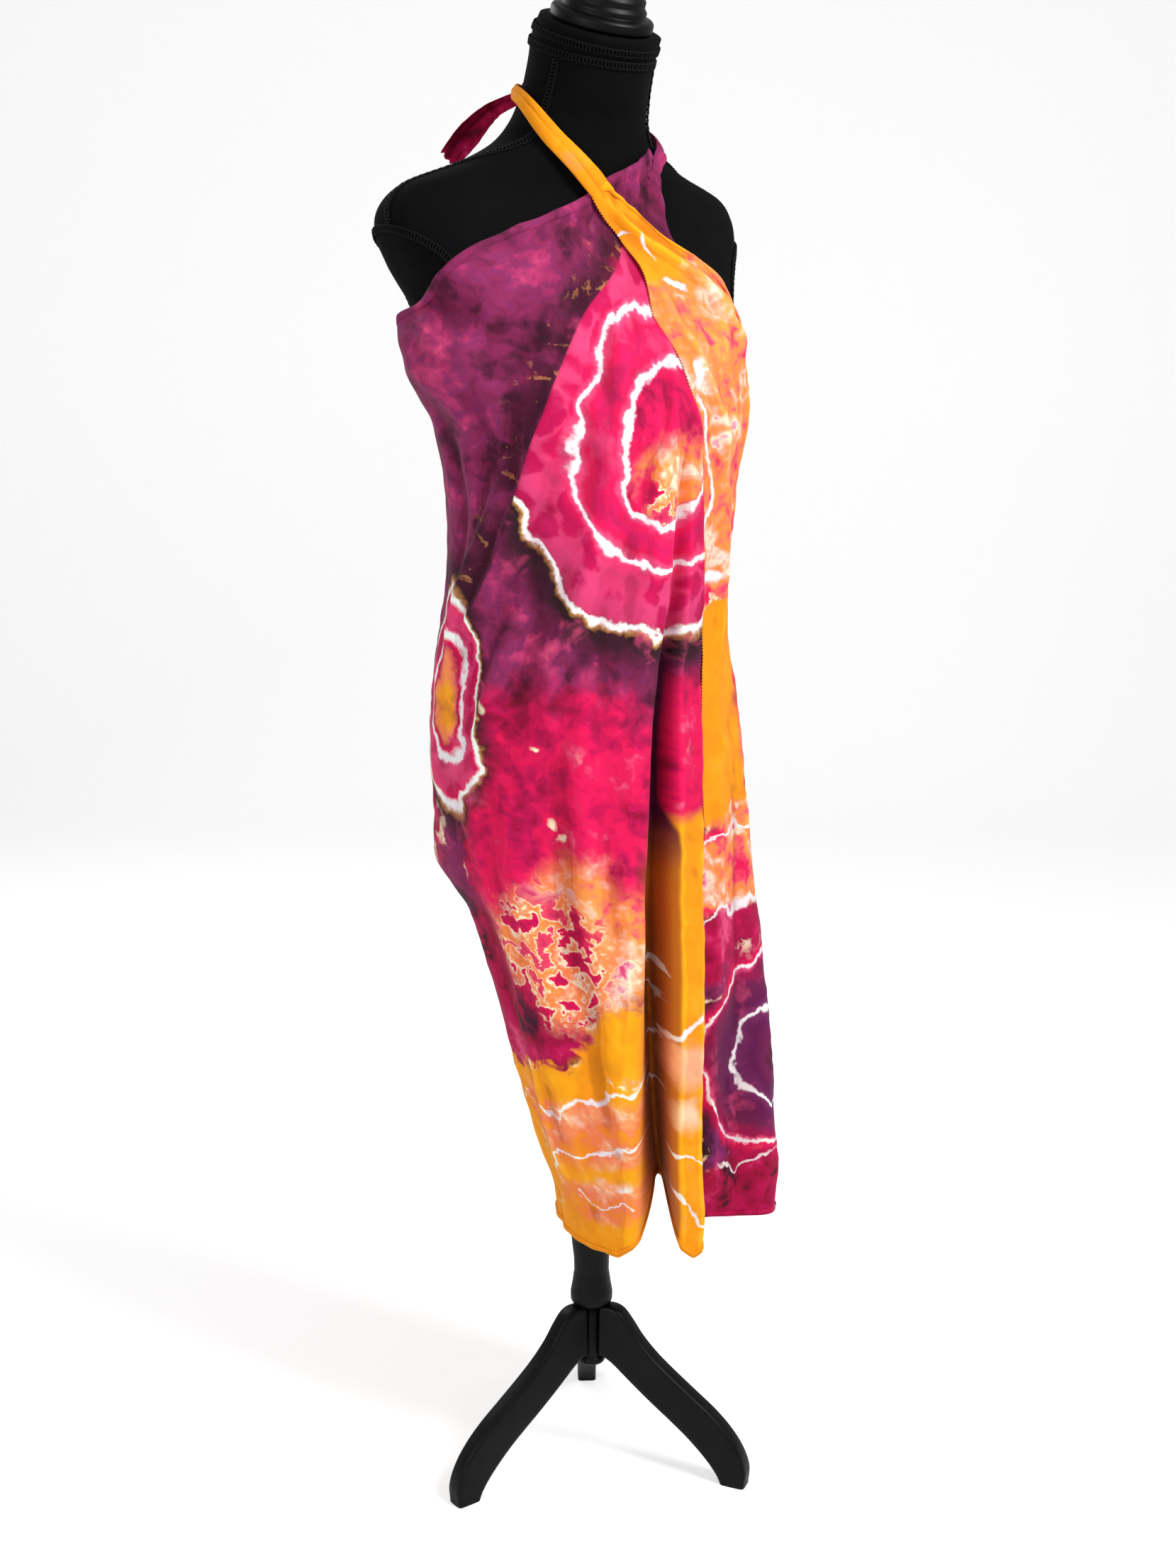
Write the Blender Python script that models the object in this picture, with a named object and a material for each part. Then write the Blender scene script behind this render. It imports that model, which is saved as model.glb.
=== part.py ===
"""A halter-tied sarong on a limbless dress form with a turned pole and a three-legged base.

Metres, +Z up. The form faces -Y, so its right side is -X. Azimuth is measured about the vertical
from the front (-Y) towards +X.
"""

import bpy
import numpy as np

# Placing: the finished box has its bottom centre on the origin.
SHIFT_X = 0.0080
SHIFT_Y = 0.0060

# Dress form: half width, front and back reach and section power at each height.
FORM_HEIGHT = (
    0.690, 0.705, 0.760, 0.820, 0.900, 0.980, 1.060, 1.120, 1.180, 1.220, 1.260,
    1.290, 1.310, 1.330, 1.350, 1.370, 1.390, 1.410, 1.440, 1.462, 1.476,
)
FORM_MIDDLE = (
    -0.008, -0.008, -0.008, -0.008, -0.008, -0.008, -0.008, -0.008, -0.008, -0.008, -0.008,
    -0.008, -0.008, -0.007, -0.006, -0.005, -0.004, -0.004, -0.004, -0.004, -0.004,
)
FORM_HALF_WIDTH = (
    0.130, 0.143, 0.150, 0.146, 0.127, 0.110, 0.119, 0.133, 0.149, 0.161, 0.180,
    0.192, 0.191, 0.174, 0.124, 0.087, 0.070, 0.0625, 0.0585, 0.058, 0.057,
)
FORM_FRONT = (
    -0.080, -0.091, -0.097, -0.099, -0.097, -0.094, -0.106, -0.123, -0.112, -0.084, -0.052,
    -0.030, -0.023, -0.021, -0.025, -0.031, -0.039, -0.050, -0.0615, -0.0690, -0.0790,
)
FORM_BACK = (
    0.101, 0.112, 0.117, 0.113, 0.090, 0.076, 0.088, 0.100, 0.114, 0.124, 0.127,
    0.119, 0.109, 0.098, 0.090, 0.084, 0.077, 0.068, 0.0555, 0.0470, 0.0340,
)
FORM_POWER = (
    2.2, 2.2, 2.2, 2.2, 2.2, 2.2, 2.2, 2.2, 2.4, 2.7, 3.0,
    3.0, 2.8, 2.5, 2.2, 2.0, 2.0, 2.0, 2.0, 2.0, 2.0,
)
FORM_RINGS = 34
FORM_SIDES = 36
FORM_RING_POWER = 0.86
NECK_TILT = np.radians(22.0)
NECK_TILT_FROM = 1.380

# Neck braid: a flat band round the top of the neck.
BRAID_HEIGHT = 1.459
BRAID_WIDTH = 0.016
BRAID_THICKNESS = 0.002
BRAID_CLEAR = 0.0004
# How far the faceted neck's flats can stand off its true section.
BRAID_CHORD = 0.0014

# Turned pieces: radius and height pairs from the bottom up, both ends on the axis.
CAP_PROFILE = (
    (0.0, 0.0004), (0.0465, 0.0004), (0.0490, 0.0025), (0.0490, 0.0100), (0.0470, 0.0125),
    (0.0400, 0.0140), (0.0405, 0.0190), (0.0375, 0.0230), (0.0380, 0.0280), (0.0335, 0.0345),
    (0.0240, 0.0390), (0.0140, 0.0425), (0.0130, 0.0470), (0.0145, 0.0530), (0.0095, 0.0585),
    (0.0, 0.0600),
)
POLE_PROFILE = (
    (0.0, 0.1780), (0.0205, 0.1780), (0.0224, 0.1815), (0.0226, 0.1900), (0.0206, 0.2010),
    (0.0186, 0.2155), (0.0190, 0.2290), (0.0210, 0.2460), (0.0228, 0.2660), (0.0236, 0.2900),
    (0.0236, 0.6896), (0.0, 0.6896),
)
HUB_PROFILE = (
    (0.0, 0.1060), (0.0100, 0.1064), (0.0142, 0.1090), (0.0150, 0.1130), (0.0142, 0.1155),
    (0.0125, 0.1165), (0.0125, 0.1777), (0.0, 0.1777),
)
TURN_SIDES = 24

# Legs: the board's upper and lower edge as radius and height, hub end first.
LEG_UPPER = (
    (0.0128, 0.1770), (0.0260, 0.1775), (0.0360, 0.1735), (0.0460, 0.1620), (0.0580, 0.1455),
    (0.0750, 0.1280), (0.0960, 0.1110), (0.1180, 0.0945), (0.1400, 0.0780), (0.1580, 0.0610),
    (0.1720, 0.0420), (0.1800, 0.0210), (0.1790, 0.0000),
)
LEG_LOWER = (
    (0.0128, 0.1180), (0.0160, 0.1180), (0.0210, 0.1160), (0.0290, 0.1110), (0.0400, 0.1020),
    (0.0560, 0.0890), (0.0740, 0.0750), (0.0930, 0.0610), (0.1110, 0.0470), (0.1260, 0.0335),
    (0.1390, 0.0200), (0.1480, 0.0080), (0.1520, 0.0000),
)
LEG_THICKNESS = 0.021
LEG_BEARINGS = {"leg_right": -175.2, "leg_front": -55.2, "leg_back": 60.0}

# Hanging cloth: the smooth hull of the wrap as centre, half width and half depth at each height.
HULL_HEIGHT = (
    0.270, 0.301, 0.333, 0.364, 0.427, 0.489, 0.550, 0.610, 0.670, 0.729, 0.787,
    0.844, 0.901, 0.957, 1.010, 1.067, 1.120, 1.150, 1.180, 1.210, 1.240, 1.290, 1.340, 1.420,
)
HULL_X = (
    0.0620, 0.0615, 0.0588, 0.0512, 0.0407, 0.0324, 0.0238, 0.0140, 0.0031, -0.0037, -0.0112,
    -0.0159, -0.0162, -0.0119, -0.0099, -0.0093, -0.0110, -0.0160, -0.0170, -0.014, -0.008, -0.008,
    -0.007, -0.004,
)
HULL_Y = (
    -0.0545, -0.0545, -0.0540, -0.0530, -0.0490, -0.0435, -0.0365, -0.0285, -0.0205, -0.0135,
    -0.0085, -0.0075, -0.0090, -0.0115, -0.0130, -0.0130, -0.0130, -0.0060, 0.004, 0.018, 0.034,
    0.044, 0.034, 0.009,
)
HULL_HALF_WIDTH = (
    0.1135, 0.1156, 0.1185, 0.1237, 0.1326, 0.1385, 0.1432, 0.1499, 0.1566, 0.1593, 0.1586,
    0.1519, 0.1454, 0.1422, 0.1434, 0.1484, 0.1620, 0.1750, 0.1790, 0.170, 0.150, 0.150, 0.100,
    0.050,
)
HULL_HALF_DEPTH = (
    0.1205, 0.1205, 0.1220, 0.1230, 0.1250, 0.1275, 0.1295, 0.1315, 0.1335, 0.1355, 0.1375,
    0.1355, 0.1330, 0.1305, 0.1290, 0.1280, 0.1270, 0.1210, 0.1130, 0.090, 0.075, 0.060, 0.045,
    0.040,
)
# The point that every deep fold is drawn in towards.
CORE_HEIGHT = (0.270, 0.500, 0.700, 0.900, 1.420)
CORE_X = (0.095, 0.062, 0.020, 0.000, -0.004)
CORE_Y = (-0.012, 0.005, 0.010, 0.010, 0.010)
HULL_BLEND = 30.0
# Below this height the cloth clears the hips, not the form's rounded lower end.
HIP_HEIGHT = 0.760

CLOTH = 0.0012
UNDER_CLEAR = 0.0034
OVER_CLEAR = 0.0075
BACK_EXTRA_CLEAR = 0.0020
# The chest slopes, so the layers stand further off it there.
CHEST_FROM = 1.190
CHEST_FULL = 1.260
CHEST_UNDER = 0.0014
CHEST_OVER = 0.0038

# Fold tracks down the front, as azimuths about the hull's centre at each height.
TRACK_HEIGHT = (0.280, 0.500, 0.700, 0.890, 1.020, 1.120, 1.200, 1.280, 1.340)
TRACK_SEAM = (-118.0, -116.0, -114.0, -112.0, -110.0, -108.0, -104.0, -104.0, -104.0)
TRACK_VALLEY_LEFT = (-50.0, -31.0, -11.0, 3.0, 8.0, 8.0, 2.0, -4.0, -10.0)
TRACK_VALLEY_RIGHT = (-33.0, -17.0, 1.0, 12.0, 15.0, 14.0, 7.0, 1.0, -5.0)
TRACK_STEP_NEAR = (-20.0, -4.0, 15.0, 25.0, 23.0, 19.0, 11.0, 6.0, 0.0)
TRACK_STEP_FAR = (-13.0, 2.0, 21.0, 31.0, 29.0, 25.0, 17.0, 12.0, 6.0)
TRACK_FREE = (66.0, 64.0, 60.0, 54.0, 50.0, 46.0, 43.0, 44.0, 53.0)
VALLEY_DEPTH = (0.62, 0.44, 0.30, 0.17, 0.07, 0.02, 0.0, 0.0, 0.0)
STEP_INSET = (0.024, 0.016, 0.012, 0.009, 0.0080, 0.0060, 0.0035, 0.0, 0.0)

# The over layer's own broad hollow beside the front column.
HOLLOW_HEIGHT = (0.270, 0.400, 0.550, 0.700, 0.850, 1.420)
HOLLOW_AZIMUTH = (14.0, 18.0, 30.0, 42.0, 46.0, 46.0)
HOLLOW_SPREAD = (36.0, 30.0, 26.0, 22.0, 20.0, 20.0)
HOLLOW_DEPTH = (0.44, 0.34, 0.18, 0.07, 0.0, 0.0)

# Edges of the sheet as azimuth and height.
UNDER_TOP_AZIMUTH = (
    -104.0, -92.0, -77.6, -69.8, -59.7, -50.6, -35.2, -10.5, 7.3, 27.7, 41.2, 50.0, 55.0,
)
UNDER_TOP_HEIGHT = (
    1.205, 1.218, 1.236, 1.2505, 1.275, 1.292, 1.3075, 1.324, 1.339, 1.350, 1.360, 1.369, 1.348,
)
OVER_TOP_AZIMUTH = (-11.8, 3.6, 23.7, 35.0, 43.5, 48.3, 54.4, 60.0, 74.0, 95.0)
OVER_TOP_HEIGHT = (1.327, 1.3355, 1.312, 1.2896, 1.2695, 1.2476, 1.223, 1.214, 1.202, 1.190)
BACK_TOP_AZIMUTH = (95.0, 140.0, 180.0, 220.0, 240.0, 256.0)
BACK_TOP_HEIGHT = (1.190, 1.184, 1.184, 1.194, 1.202, 1.205)
UNDER_HEM_AZIMUTH = (-118.0, -90.0, -60.0, -50.0, -42.0, -35.0, -27.0, -16.0, 20.0, 66.0)
UNDER_HEM_HEIGHT = (0.290, 0.286, 0.285, 0.300, 0.345, 0.338, 0.300, 0.296, 0.290, 0.290)
OVER_FREE_HEIGHT = (
    0.288, 0.325, 0.362, 0.420, 0.500, 0.700, 0.890, 1.020, 1.070, 1.120, 1.167, 1.210, 1.260,
    1.287, 1.327,
)
OVER_FREE_AZIMUTH = (
    58.0, 30.0, -4.0, 1.0, 6.0, 25.0, 33.0, 28.0, 26.0, 23.0, 19.0, 11.5, 10.9, 7.9, -11.8,
)
OVER_HEM_HEIGHT = 0.288
SIDE_SEAM_HEIGHT = (0.280, 0.500, 0.700, 0.890, 1.020, 1.188)
SIDE_SEAM_AZIMUTH = (125.0, 116.0, 108.0, 102.0, 98.0, 95.0)
BACK_HEM_HEIGHT = 0.290
SEAM_GAP = 0.15

# Soft folds: start and end azimuth and height, rise of the ridge and its half width. They run
# over the hull unrolled at this many metres to a radian of azimuth.
UNROLL = 0.15
DRAG_FOLDS = (
    (-8.0, 1.290, -84.0, 0.930, 0.0060, 0.022),
    (-20.0, 1.290, -104.0, 0.840, 0.0050, 0.024),
    (-2.0, 1.250, -52.0, 0.820, 0.0045, 0.022),
)
OVER_FOLDS = (
    (0.0, 1.318, 62.0, 1.130, 0.0032, 0.014),
    (-6.0, 1.305, 36.0, 1.020, 0.0026, 0.013),
)
BACK_FOLDS = (
    (128.0, 1.120, 138.0, 0.290, 0.0070, 0.022),
    (165.0, 1.120, 170.0, 0.290, 0.0080, 0.024),
    (196.0, 1.120, 205.0, 0.290, 0.0070, 0.022),
    (228.0, 1.120, 232.0, 0.290, 0.0060, 0.024),
)

# Grid counts, round the body and up it.
UNDER_COLUMNS = (14, 6, 6, 4, 10)
UNDER_ROWS = 30
OVER_COLUMNS = 20
OVER_ROWS = 28
BACK_COLUMNS = 22
BACK_ROWS = 20
ROW_POWER = 1.15

# Neck straps: azimuth, height and distance off the form down the middle of each.
STRAP_OVER = (
    (-7.3, 1.3345, 0.0095), (-20.0, 1.3465, 0.0080), (-43.0, 1.3695, 0.0066), (-71.0, 1.3980, 0.0058),
    (-95.0, 1.4120, 0.0056), (-125.0, 1.4160, 0.0056), (-145.0, 1.4155, 0.0058), (-169.0, 1.4150, 0.0064),
)
STRAP_UNDER = (
    (54.5, 1.3600, 0.0056), (66.0, 1.3690, 0.0064), (84.0, 1.3820, 0.0074), (108.0, 1.3960, 0.0070),
    (134.0, 1.4080, 0.0060), (164.1, 1.4150, 0.0060),
)
STRAP_OVER_WIDTH = 0.021
STRAP_UNDER_WIDTH = 0.020
STRAP_WALL = 0.0009
STRAP_PITCH = 0.0016
STRAP_STATIONS = 20
# Step in radians and metres for reading which way the form's surface faces.
SURFACE_STEP = 0.001

# Knot behind the neck, wound as one closed cord of cloth.
KNOT_AZIMUTH = 180.0
KNOT_HEIGHT = 1.415
KNOT_CLEAR = 0.0167
KNOT_SCALE = 0.0066
KNOT_RADIUS = 0.0052
KNOT_STATIONS = 36
KNOT_SIDES = 8

# Tails: points down the middle, then full width and curl depth at each.
TAIL_RIGHT = (
    (-0.0194, 0.0952, 1.4260, 0.011, 0.0030), (-0.0380, 0.1110, 1.4160, 0.014, 0.0040),
    (-0.0520, 0.1140, 1.4060, 0.019, 0.0055), (-0.0735, 0.1150, 1.3850, 0.025, 0.0065),
    (-0.0940, 0.1130, 1.3640, 0.021, 0.0050),
)
TAIL_LEFT = (
    (0.0099, 0.0904, 1.4276, 0.011, 0.0030), (0.0480, 0.1110, 1.4180, 0.015, 0.0040),
    (0.0740, 0.1060, 1.4090, 0.020, 0.0055), (0.0980, 0.0960, 1.4010, 0.022, 0.0055),
    (0.1180, 0.0860, 1.3950, 0.018, 0.0040),
)
TAIL_STATIONS = 12
TAIL_ACROSS = 7
# Half angle in radians that a tail's curl turns through.
TAIL_CURL = 1.25

BLACK = (0.012, 0.012, 0.013)
LACQUER = (0.010, 0.010, 0.010)
PLUM = (0.17, 0.02, 0.11)
ORANGE = (0.90, 0.33, 0.01)
MAGENTA = (0.62, 0.005, 0.07)


def smooth(value, knots, values):
    """Cubic Hermite interpolation with held ends."""
    knots = np.asarray(knots, float)
    values = np.asarray(values, float)
    value = np.clip(value, knots[0], knots[-1])
    index = np.clip(np.searchsorted(knots, value) - 1, 0, len(knots) - 2)
    span = knots[index + 1] - knots[index]
    t = (value - knots[index]) / span
    slope = np.gradient(values, knots)
    start = (2 * t**3 - 3 * t**2 + 1) * values[index] + (t**3 - 2 * t**2 + t) * span * slope[index]
    end = (3 * t**2 - 2 * t**3) * values[index + 1] + (t**3 - t**2) * span * slope[index + 1]
    return start + end


def ease(value):
    """A soft step from 0 to 1."""
    t = np.clip(value, 0.0, 1.0)
    return t * t * (3.0 - 2.0 * t)


def form_section(height):
    front = smooth(height, FORM_HEIGHT, FORM_FRONT)
    back = smooth(height, FORM_HEIGHT, FORM_BACK)
    half_width = smooth(height, FORM_HEIGHT, FORM_HALF_WIDTH)
    power = np.interp(height, FORM_HEIGHT, FORM_POWER)
    return half_width, (front + back) / 2, (back - front) / 2, power


def form_middle(height):
    return smooth(height, FORM_HEIGHT, FORM_MIDDLE)


def form_point(azimuth, height, clear):
    """A point on the form's section at this height, moved out by clear."""
    half_width, middle, half_depth, power = form_section(height)
    across = np.sin(azimuth)
    along = -np.cos(azimuth)
    reach = np.abs(across / (half_width + clear)) ** power + np.abs(along / (half_depth + clear)) ** power
    radius = reach ** (-1.0 / power)
    tilt = np.tan(NECK_TILT) * ease((height - NECK_TILT_FROM) / (FORM_HEIGHT[-1] - NECK_TILT_FROM))
    return np.stack(
        [form_middle(height) + radius * across, middle + radius * along, height + tilt * radius * along],
        axis=-1,
    )


def push_clear(x, y, height, clear):
    """Moves a plan point out of the form's section grown by clear, with a soft change-over."""
    half_width, middle, half_depth, power = form_section(np.maximum(height, HIP_HEIGHT))
    form_x = form_middle(height)
    across = np.abs((x - form_x) / (half_width + clear)) ** power
    along = np.abs((y - middle) / (half_depth + clear)) ** power
    ratio = np.maximum((across + along) ** (1.0 / power), 1e-4)
    scale = (1.0 + ratio**-HULL_BLEND) ** (1.0 / HULL_BLEND)
    below = ease((height - FORM_HEIGHT[0] + 0.06) / 0.06)
    scale = 1.0 + (scale - 1.0) * below
    return form_x + (x - form_x) * scale, middle + (y - middle) * scale


def hull_point(azimuth, height):
    centre_x = smooth(height, HULL_HEIGHT, HULL_X)
    centre_y = smooth(height, HULL_HEIGHT, HULL_Y)
    half_width = smooth(height, HULL_HEIGHT, HULL_HALF_WIDTH)
    half_depth = smooth(height, HULL_HEIGHT, HULL_HALF_DEPTH)
    across = np.sin(azimuth)
    along = -np.cos(azimuth)
    radius = ((across / half_width) ** 2 + (along / half_depth) ** 2) ** -0.5
    return centre_x + radius * across, centre_y + radius * along


def track(height, azimuths):
    return np.radians(smooth(height, TRACK_HEIGHT, azimuths))


def ridge_rise(azimuth, height, folds):
    """Sum of soft ridges that run along straight lines over the unrolled hull."""
    total = np.zeros_like(azimuth)
    for start, top, end, bottom, rise, width in folds:
        line = np.array([np.radians(end - start) * UNROLL, bottom - top])
        length = np.hypot(line[0], line[1])
        away_x = (azimuth - np.radians(start)) * UNROLL
        away_z = height - top
        along = (away_x * line[0] + away_z * line[1]) / length
        across = (away_x * line[1] - away_z * line[0]) / length
        share = along / length
        taper = ease(share / 0.15) * ease((1.12 - share) / 0.30)
        narrow = width * (0.45 + 0.85 * np.clip(share, 0.0, 1.0))
        total += rise * taper * np.exp(-((across / narrow) ** 2))
    return total


def drawn_in(x, y, height, share):
    """Draws a hull point in towards the fold core by this share of the way."""
    core_x = smooth(height, CORE_HEIGHT, CORE_X)
    core_y = smooth(height, CORE_HEIGHT, CORE_Y)
    return x + (core_x - x) * share, y + (core_y - y) * share


def hollow_share(azimuth, height):
    middle = np.radians(smooth(height, HOLLOW_HEIGHT, HOLLOW_AZIMUTH))
    spread = np.radians(smooth(height, HOLLOW_HEIGHT, HOLLOW_SPREAD))
    depth = np.interp(height, HOLLOW_HEIGHT, HOLLOW_DEPTH)
    return depth * np.exp(-(((azimuth - middle) / spread) ** 4))


def outwards(x, y, height, rise):
    """Moves a plan point straight out from the hull's centre."""
    away_x = x - smooth(height, HULL_HEIGHT, HULL_X)
    away_y = y - smooth(height, HULL_HEIGHT, HULL_Y)
    far = np.hypot(away_x, away_y)
    return x + away_x / far * rise, y + away_y / far * rise


def on_chest(height):
    return ease((height - CHEST_FROM) / (CHEST_FULL - CHEST_FROM))


def under_point(azimuth, height):
    """Middle of the under layer's wall."""
    x, y = hull_point(azimuth, height)
    left = track(height, TRACK_VALLEY_LEFT)
    right = track(height, TRACK_VALLEY_RIGHT)
    depth = np.interp(height, TRACK_HEIGHT, VALLEY_DEPTH)
    valley = depth * np.exp(-(((azimuth - (left + right) / 2) / ((right - left) / 2)) ** 4))
    near = track(height, TRACK_STEP_NEAR)
    far = track(height, TRACK_STEP_FAR)
    step = ease((azimuth - near) / (far - near))
    x, y = drawn_in(x, y, height, valley * (1 - step) + hollow_share(azimuth, height) * step)
    rise = ridge_rise(azimuth, height, DRAG_FOLDS) * (1 - step)
    rise = rise - step * np.interp(height, TRACK_HEIGHT, STEP_INSET)
    x, y = outwards(x, y, height, rise)
    clear = UNDER_CLEAR + np.maximum(rise, 0.0) + CHEST_UNDER * on_chest(height)
    x, y = push_clear(x, y, height, clear)
    return np.stack([x, y, height], axis=-1)


def over_point(azimuth, height):
    """Middle of the over layer's wall."""
    x, y = hull_point(azimuth, height)
    x, y = drawn_in(x, y, height, hollow_share(azimuth, height))
    rise = ridge_rise(azimuth, height, OVER_FOLDS)
    x, y = outwards(x, y, height, rise)
    x, y = push_clear(x, y, height, OVER_CLEAR + rise + CHEST_OVER * on_chest(height))
    return np.stack([x, y, height], axis=-1)


def back_point(azimuth, height):
    """Middle of the back's wall. Each side edge meets the layer it continues."""
    x, y = hull_point(azimuth, height)
    rise = ridge_rise(azimuth, height, BACK_FOLDS)
    x, y = outwards(x, y, height, rise)
    seam = np.radians(smooth(height, SIDE_SEAM_HEIGHT, SIDE_SEAM_AZIMUTH))
    turn = np.radians(smooth(height, TRACK_HEIGHT, TRACK_SEAM)) + 2 * np.pi
    share = np.clip((azimuth - seam) / (turn - seam), 0.0, 1.0)
    clear = OVER_CLEAR + (UNDER_CLEAR - OVER_CLEAR) * ease(share * 2.5)
    clear = clear + BACK_EXTRA_CLEAR * np.sin(np.pi * share)
    x, y = push_clear(x, y, height, clear + rise)
    return np.stack([x, y, height], axis=-1)


def grid(columns, rows, azimuth_at, hem_at, top_at, point_at):
    """Points on a panel: each column climbs from the hem to the top edge along its own track."""
    points = np.zeros((len(columns), rows + 1, 3))
    climb = np.linspace(0.0, 1.0, rows + 1) ** ROW_POWER
    for index, share in enumerate(columns):
        top = 1.25
        hem = 0.29
        for _ in range(40):
            top = 0.5 * top + 0.5 * top_at(azimuth_at(share, top))
            hem = 0.5 * hem + 0.5 * hem_at(azimuth_at(share, hem))
        height = hem + (top - hem) * climb
        points[index] = point_at(azimuth_at(share, height), height)
    return points


def grid_normals(points, outward_from):
    around = np.gradient(points, axis=0)
    upward = np.gradient(points, axis=1)
    normal = np.cross(around, upward)
    normal /= np.maximum(np.linalg.norm(normal, axis=-1, keepdims=True), 1e-12)
    away = points - outward_from
    away[..., 2] = 0.0
    if (normal * away).sum() < 0:
        normal = -normal
    return normal


def material(name, colour, roughness):
    made = bpy.data.materials.new(name)
    made.use_nodes = True
    shader = made.node_tree.nodes["Principled BSDF"]
    shader.inputs["Base Color"].default_value = (*colour, 1.0)
    shader.inputs["Roughness"].default_value = roughness
    return made


def add_solid(name, vertices, faces, colour, roughness):
    """Makes one object, placed, with its faces turned outward."""
    placed = np.asarray(vertices, float) + np.array([SHIFT_X, SHIFT_Y, 0.0])
    mesh = bpy.data.meshes.new(name)
    mesh.from_pydata(placed.tolist(), [], [list(face) for face in faces])
    mesh.update()
    for polygon in mesh.polygons:
        polygon.use_smooth = True
    made = bpy.data.objects.new(name, mesh)
    bpy.context.scene.collection.objects.link(made)
    mesh.materials.append(material(name + "_finish", colour, roughness))
    if signed_volume(mesh) < 0:
        mesh.flip_normals()
    return made


def signed_volume(mesh):
    mesh.calc_loop_triangles()
    total = 0.0
    for triangle in mesh.loop_triangles:
        a, b, c = (mesh.vertices[index].co for index in triangle.vertices)
        total += a.dot(b.cross(c))
    return total / 6.0


def wall_from_grid(name, points, normals, wall, colour):
    """A closed wall: the grid moved out and in by half the wall, joined round its border."""
    columns, rows = points.shape[:2]
    outer = (points + normals * wall / 2).reshape(-1, 3)
    inner = (points - normals * wall / 2).reshape(-1, 3)
    count = columns * rows
    faces = []
    for i in range(columns - 1):
        for j in range(rows - 1):
            a = i * rows + j
            b = a + rows
            faces.append((a, b, b + 1, a + 1))
            faces.append((count + a, count + a + 1, count + b + 1, count + b))
    border = [i * rows for i in range(columns)]
    border += [(columns - 1) * rows + j for j in range(1, rows)]
    border += [i * rows + rows - 1 for i in range(columns - 2, -1, -1)]
    border += [j for j in range(rows - 2, 0, -1)]
    for here, there in zip(border, border[1:] + border[:1]):
        faces.append((there, here, here + count, there + count))
    return add_solid(name, np.vstack([outer, inner]), faces, colour, 0.75)


def tube(name, rings, colour, roughness, closed_path):
    """A closed solid from rings of equal count; open paths get flat ends."""
    stations, sides = rings.shape[:2]
    faces = []
    last = stations if closed_path else stations - 1
    for i in range(last):
        for j in range(sides):
            here = i * sides
            there = (i + 1) % stations * sides
            k = (j + 1) % sides
            faces.append((here + j, here + k, there + k, there + j))
    if not closed_path:
        faces.append(tuple(range(sides - 1, -1, -1)))
        faces.append(tuple((stations - 1) * sides + j for j in range(sides)))
    return add_solid(name, rings.reshape(-1, 3), faces, colour, roughness)


def turned(name, profile, centre, axis, colour, roughness):
    """A lathe solid about an axis, its profile given as radius and height along the axis."""
    axis = np.asarray(axis, float)
    side = np.array([1.0, 0.0, 0.0])
    other = np.cross(axis, side)
    turn = np.arange(TURN_SIDES) * 2 * np.pi / TURN_SIDES
    vertices = [np.asarray(centre) + axis * profile[0][1]]
    for radius, height in profile[1:-1]:
        for angle in turn:
            spoke = side * np.cos(angle) + other * np.sin(angle)
            vertices.append(np.asarray(centre) + axis * height + spoke * radius)
    vertices.append(np.asarray(centre) + axis * profile[-1][1])
    faces = []
    rings = len(profile) - 2
    for j in range(TURN_SIDES):
        k = (j + 1) % TURN_SIDES
        faces.append((0, 1 + k, 1 + j))
        for i in range(rings - 1):
            low = 1 + i * TURN_SIDES
            high = low + TURN_SIDES
            faces.append((low + j, low + k, high + k, high + j))
        high = 1 + (rings - 1) * TURN_SIDES
        faces.append((high + j, high + k, len(vertices) - 1))
    return add_solid(name, vertices, faces, colour, roughness)


def build_form():
    climb = np.linspace(0.0, 1.0, FORM_RINGS) ** FORM_RING_POWER
    heights = FORM_HEIGHT[0] + (FORM_HEIGHT[-1] - FORM_HEIGHT[0]) * climb
    turn = np.arange(FORM_SIDES) * 2 * np.pi / FORM_SIDES
    rings = [form_point(turn, np.full(FORM_SIDES, height), 0.0) for height in heights]
    tube("form_torso", np.array(rings), BLACK, 0.9, False)
    near = BRAID_CLEAR + BRAID_CHORD
    corners = (
        (near, -BRAID_WIDTH / 2), (near + BRAID_THICKNESS, -BRAID_WIDTH / 2),
        (near + BRAID_THICKNESS, BRAID_WIDTH / 2), (near, BRAID_WIDTH / 2),
    )
    rings = []
    for angle in turn:
        rings.append([form_point(angle, BRAID_HEIGHT + up, out) for out, up in corners])
    tube("form_neck_braid", np.array(rings), BLACK, 0.9, True)


def build_stand():
    middle = (FORM_FRONT[-1] + FORM_BACK[-1]) / 2
    lean = (0.0, -np.sin(NECK_TILT), np.cos(NECK_TILT))
    centre = (FORM_MIDDLE[-1], middle, FORM_HEIGHT[-1])
    turned("form_neck_cap", CAP_PROFILE, centre, lean, LACQUER, 0.4)
    turned("stand_pole", POLE_PROFILE, (0.0, 0.0, 0.0), (0.0, 0.0, 1.0), LACQUER, 0.4)
    turned("stand_hub", HUB_PROFILE, (0.0, 0.0, 0.0), (0.0, 0.0, 1.0), LACQUER, 0.4)
    for name, bearing in LEG_BEARINGS.items():
        outward = np.array([np.cos(np.radians(bearing)), np.sin(np.radians(bearing)), 0.0])
        aside = np.array([-outward[1], outward[0], 0.0]) * LEG_THICKNESS / 2
        rings = []
        for upper, lower in zip(LEG_UPPER, LEG_LOWER):
            high = outward * upper[0] + np.array([0.0, 0.0, upper[1]])
            low = outward * lower[0] + np.array([0.0, 0.0, lower[1]])
            rings.append([high + aside, high - aside, low - aside, low + aside])
        tube("stand_" + name, np.array(rings), LACQUER, 0.4, False)


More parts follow.
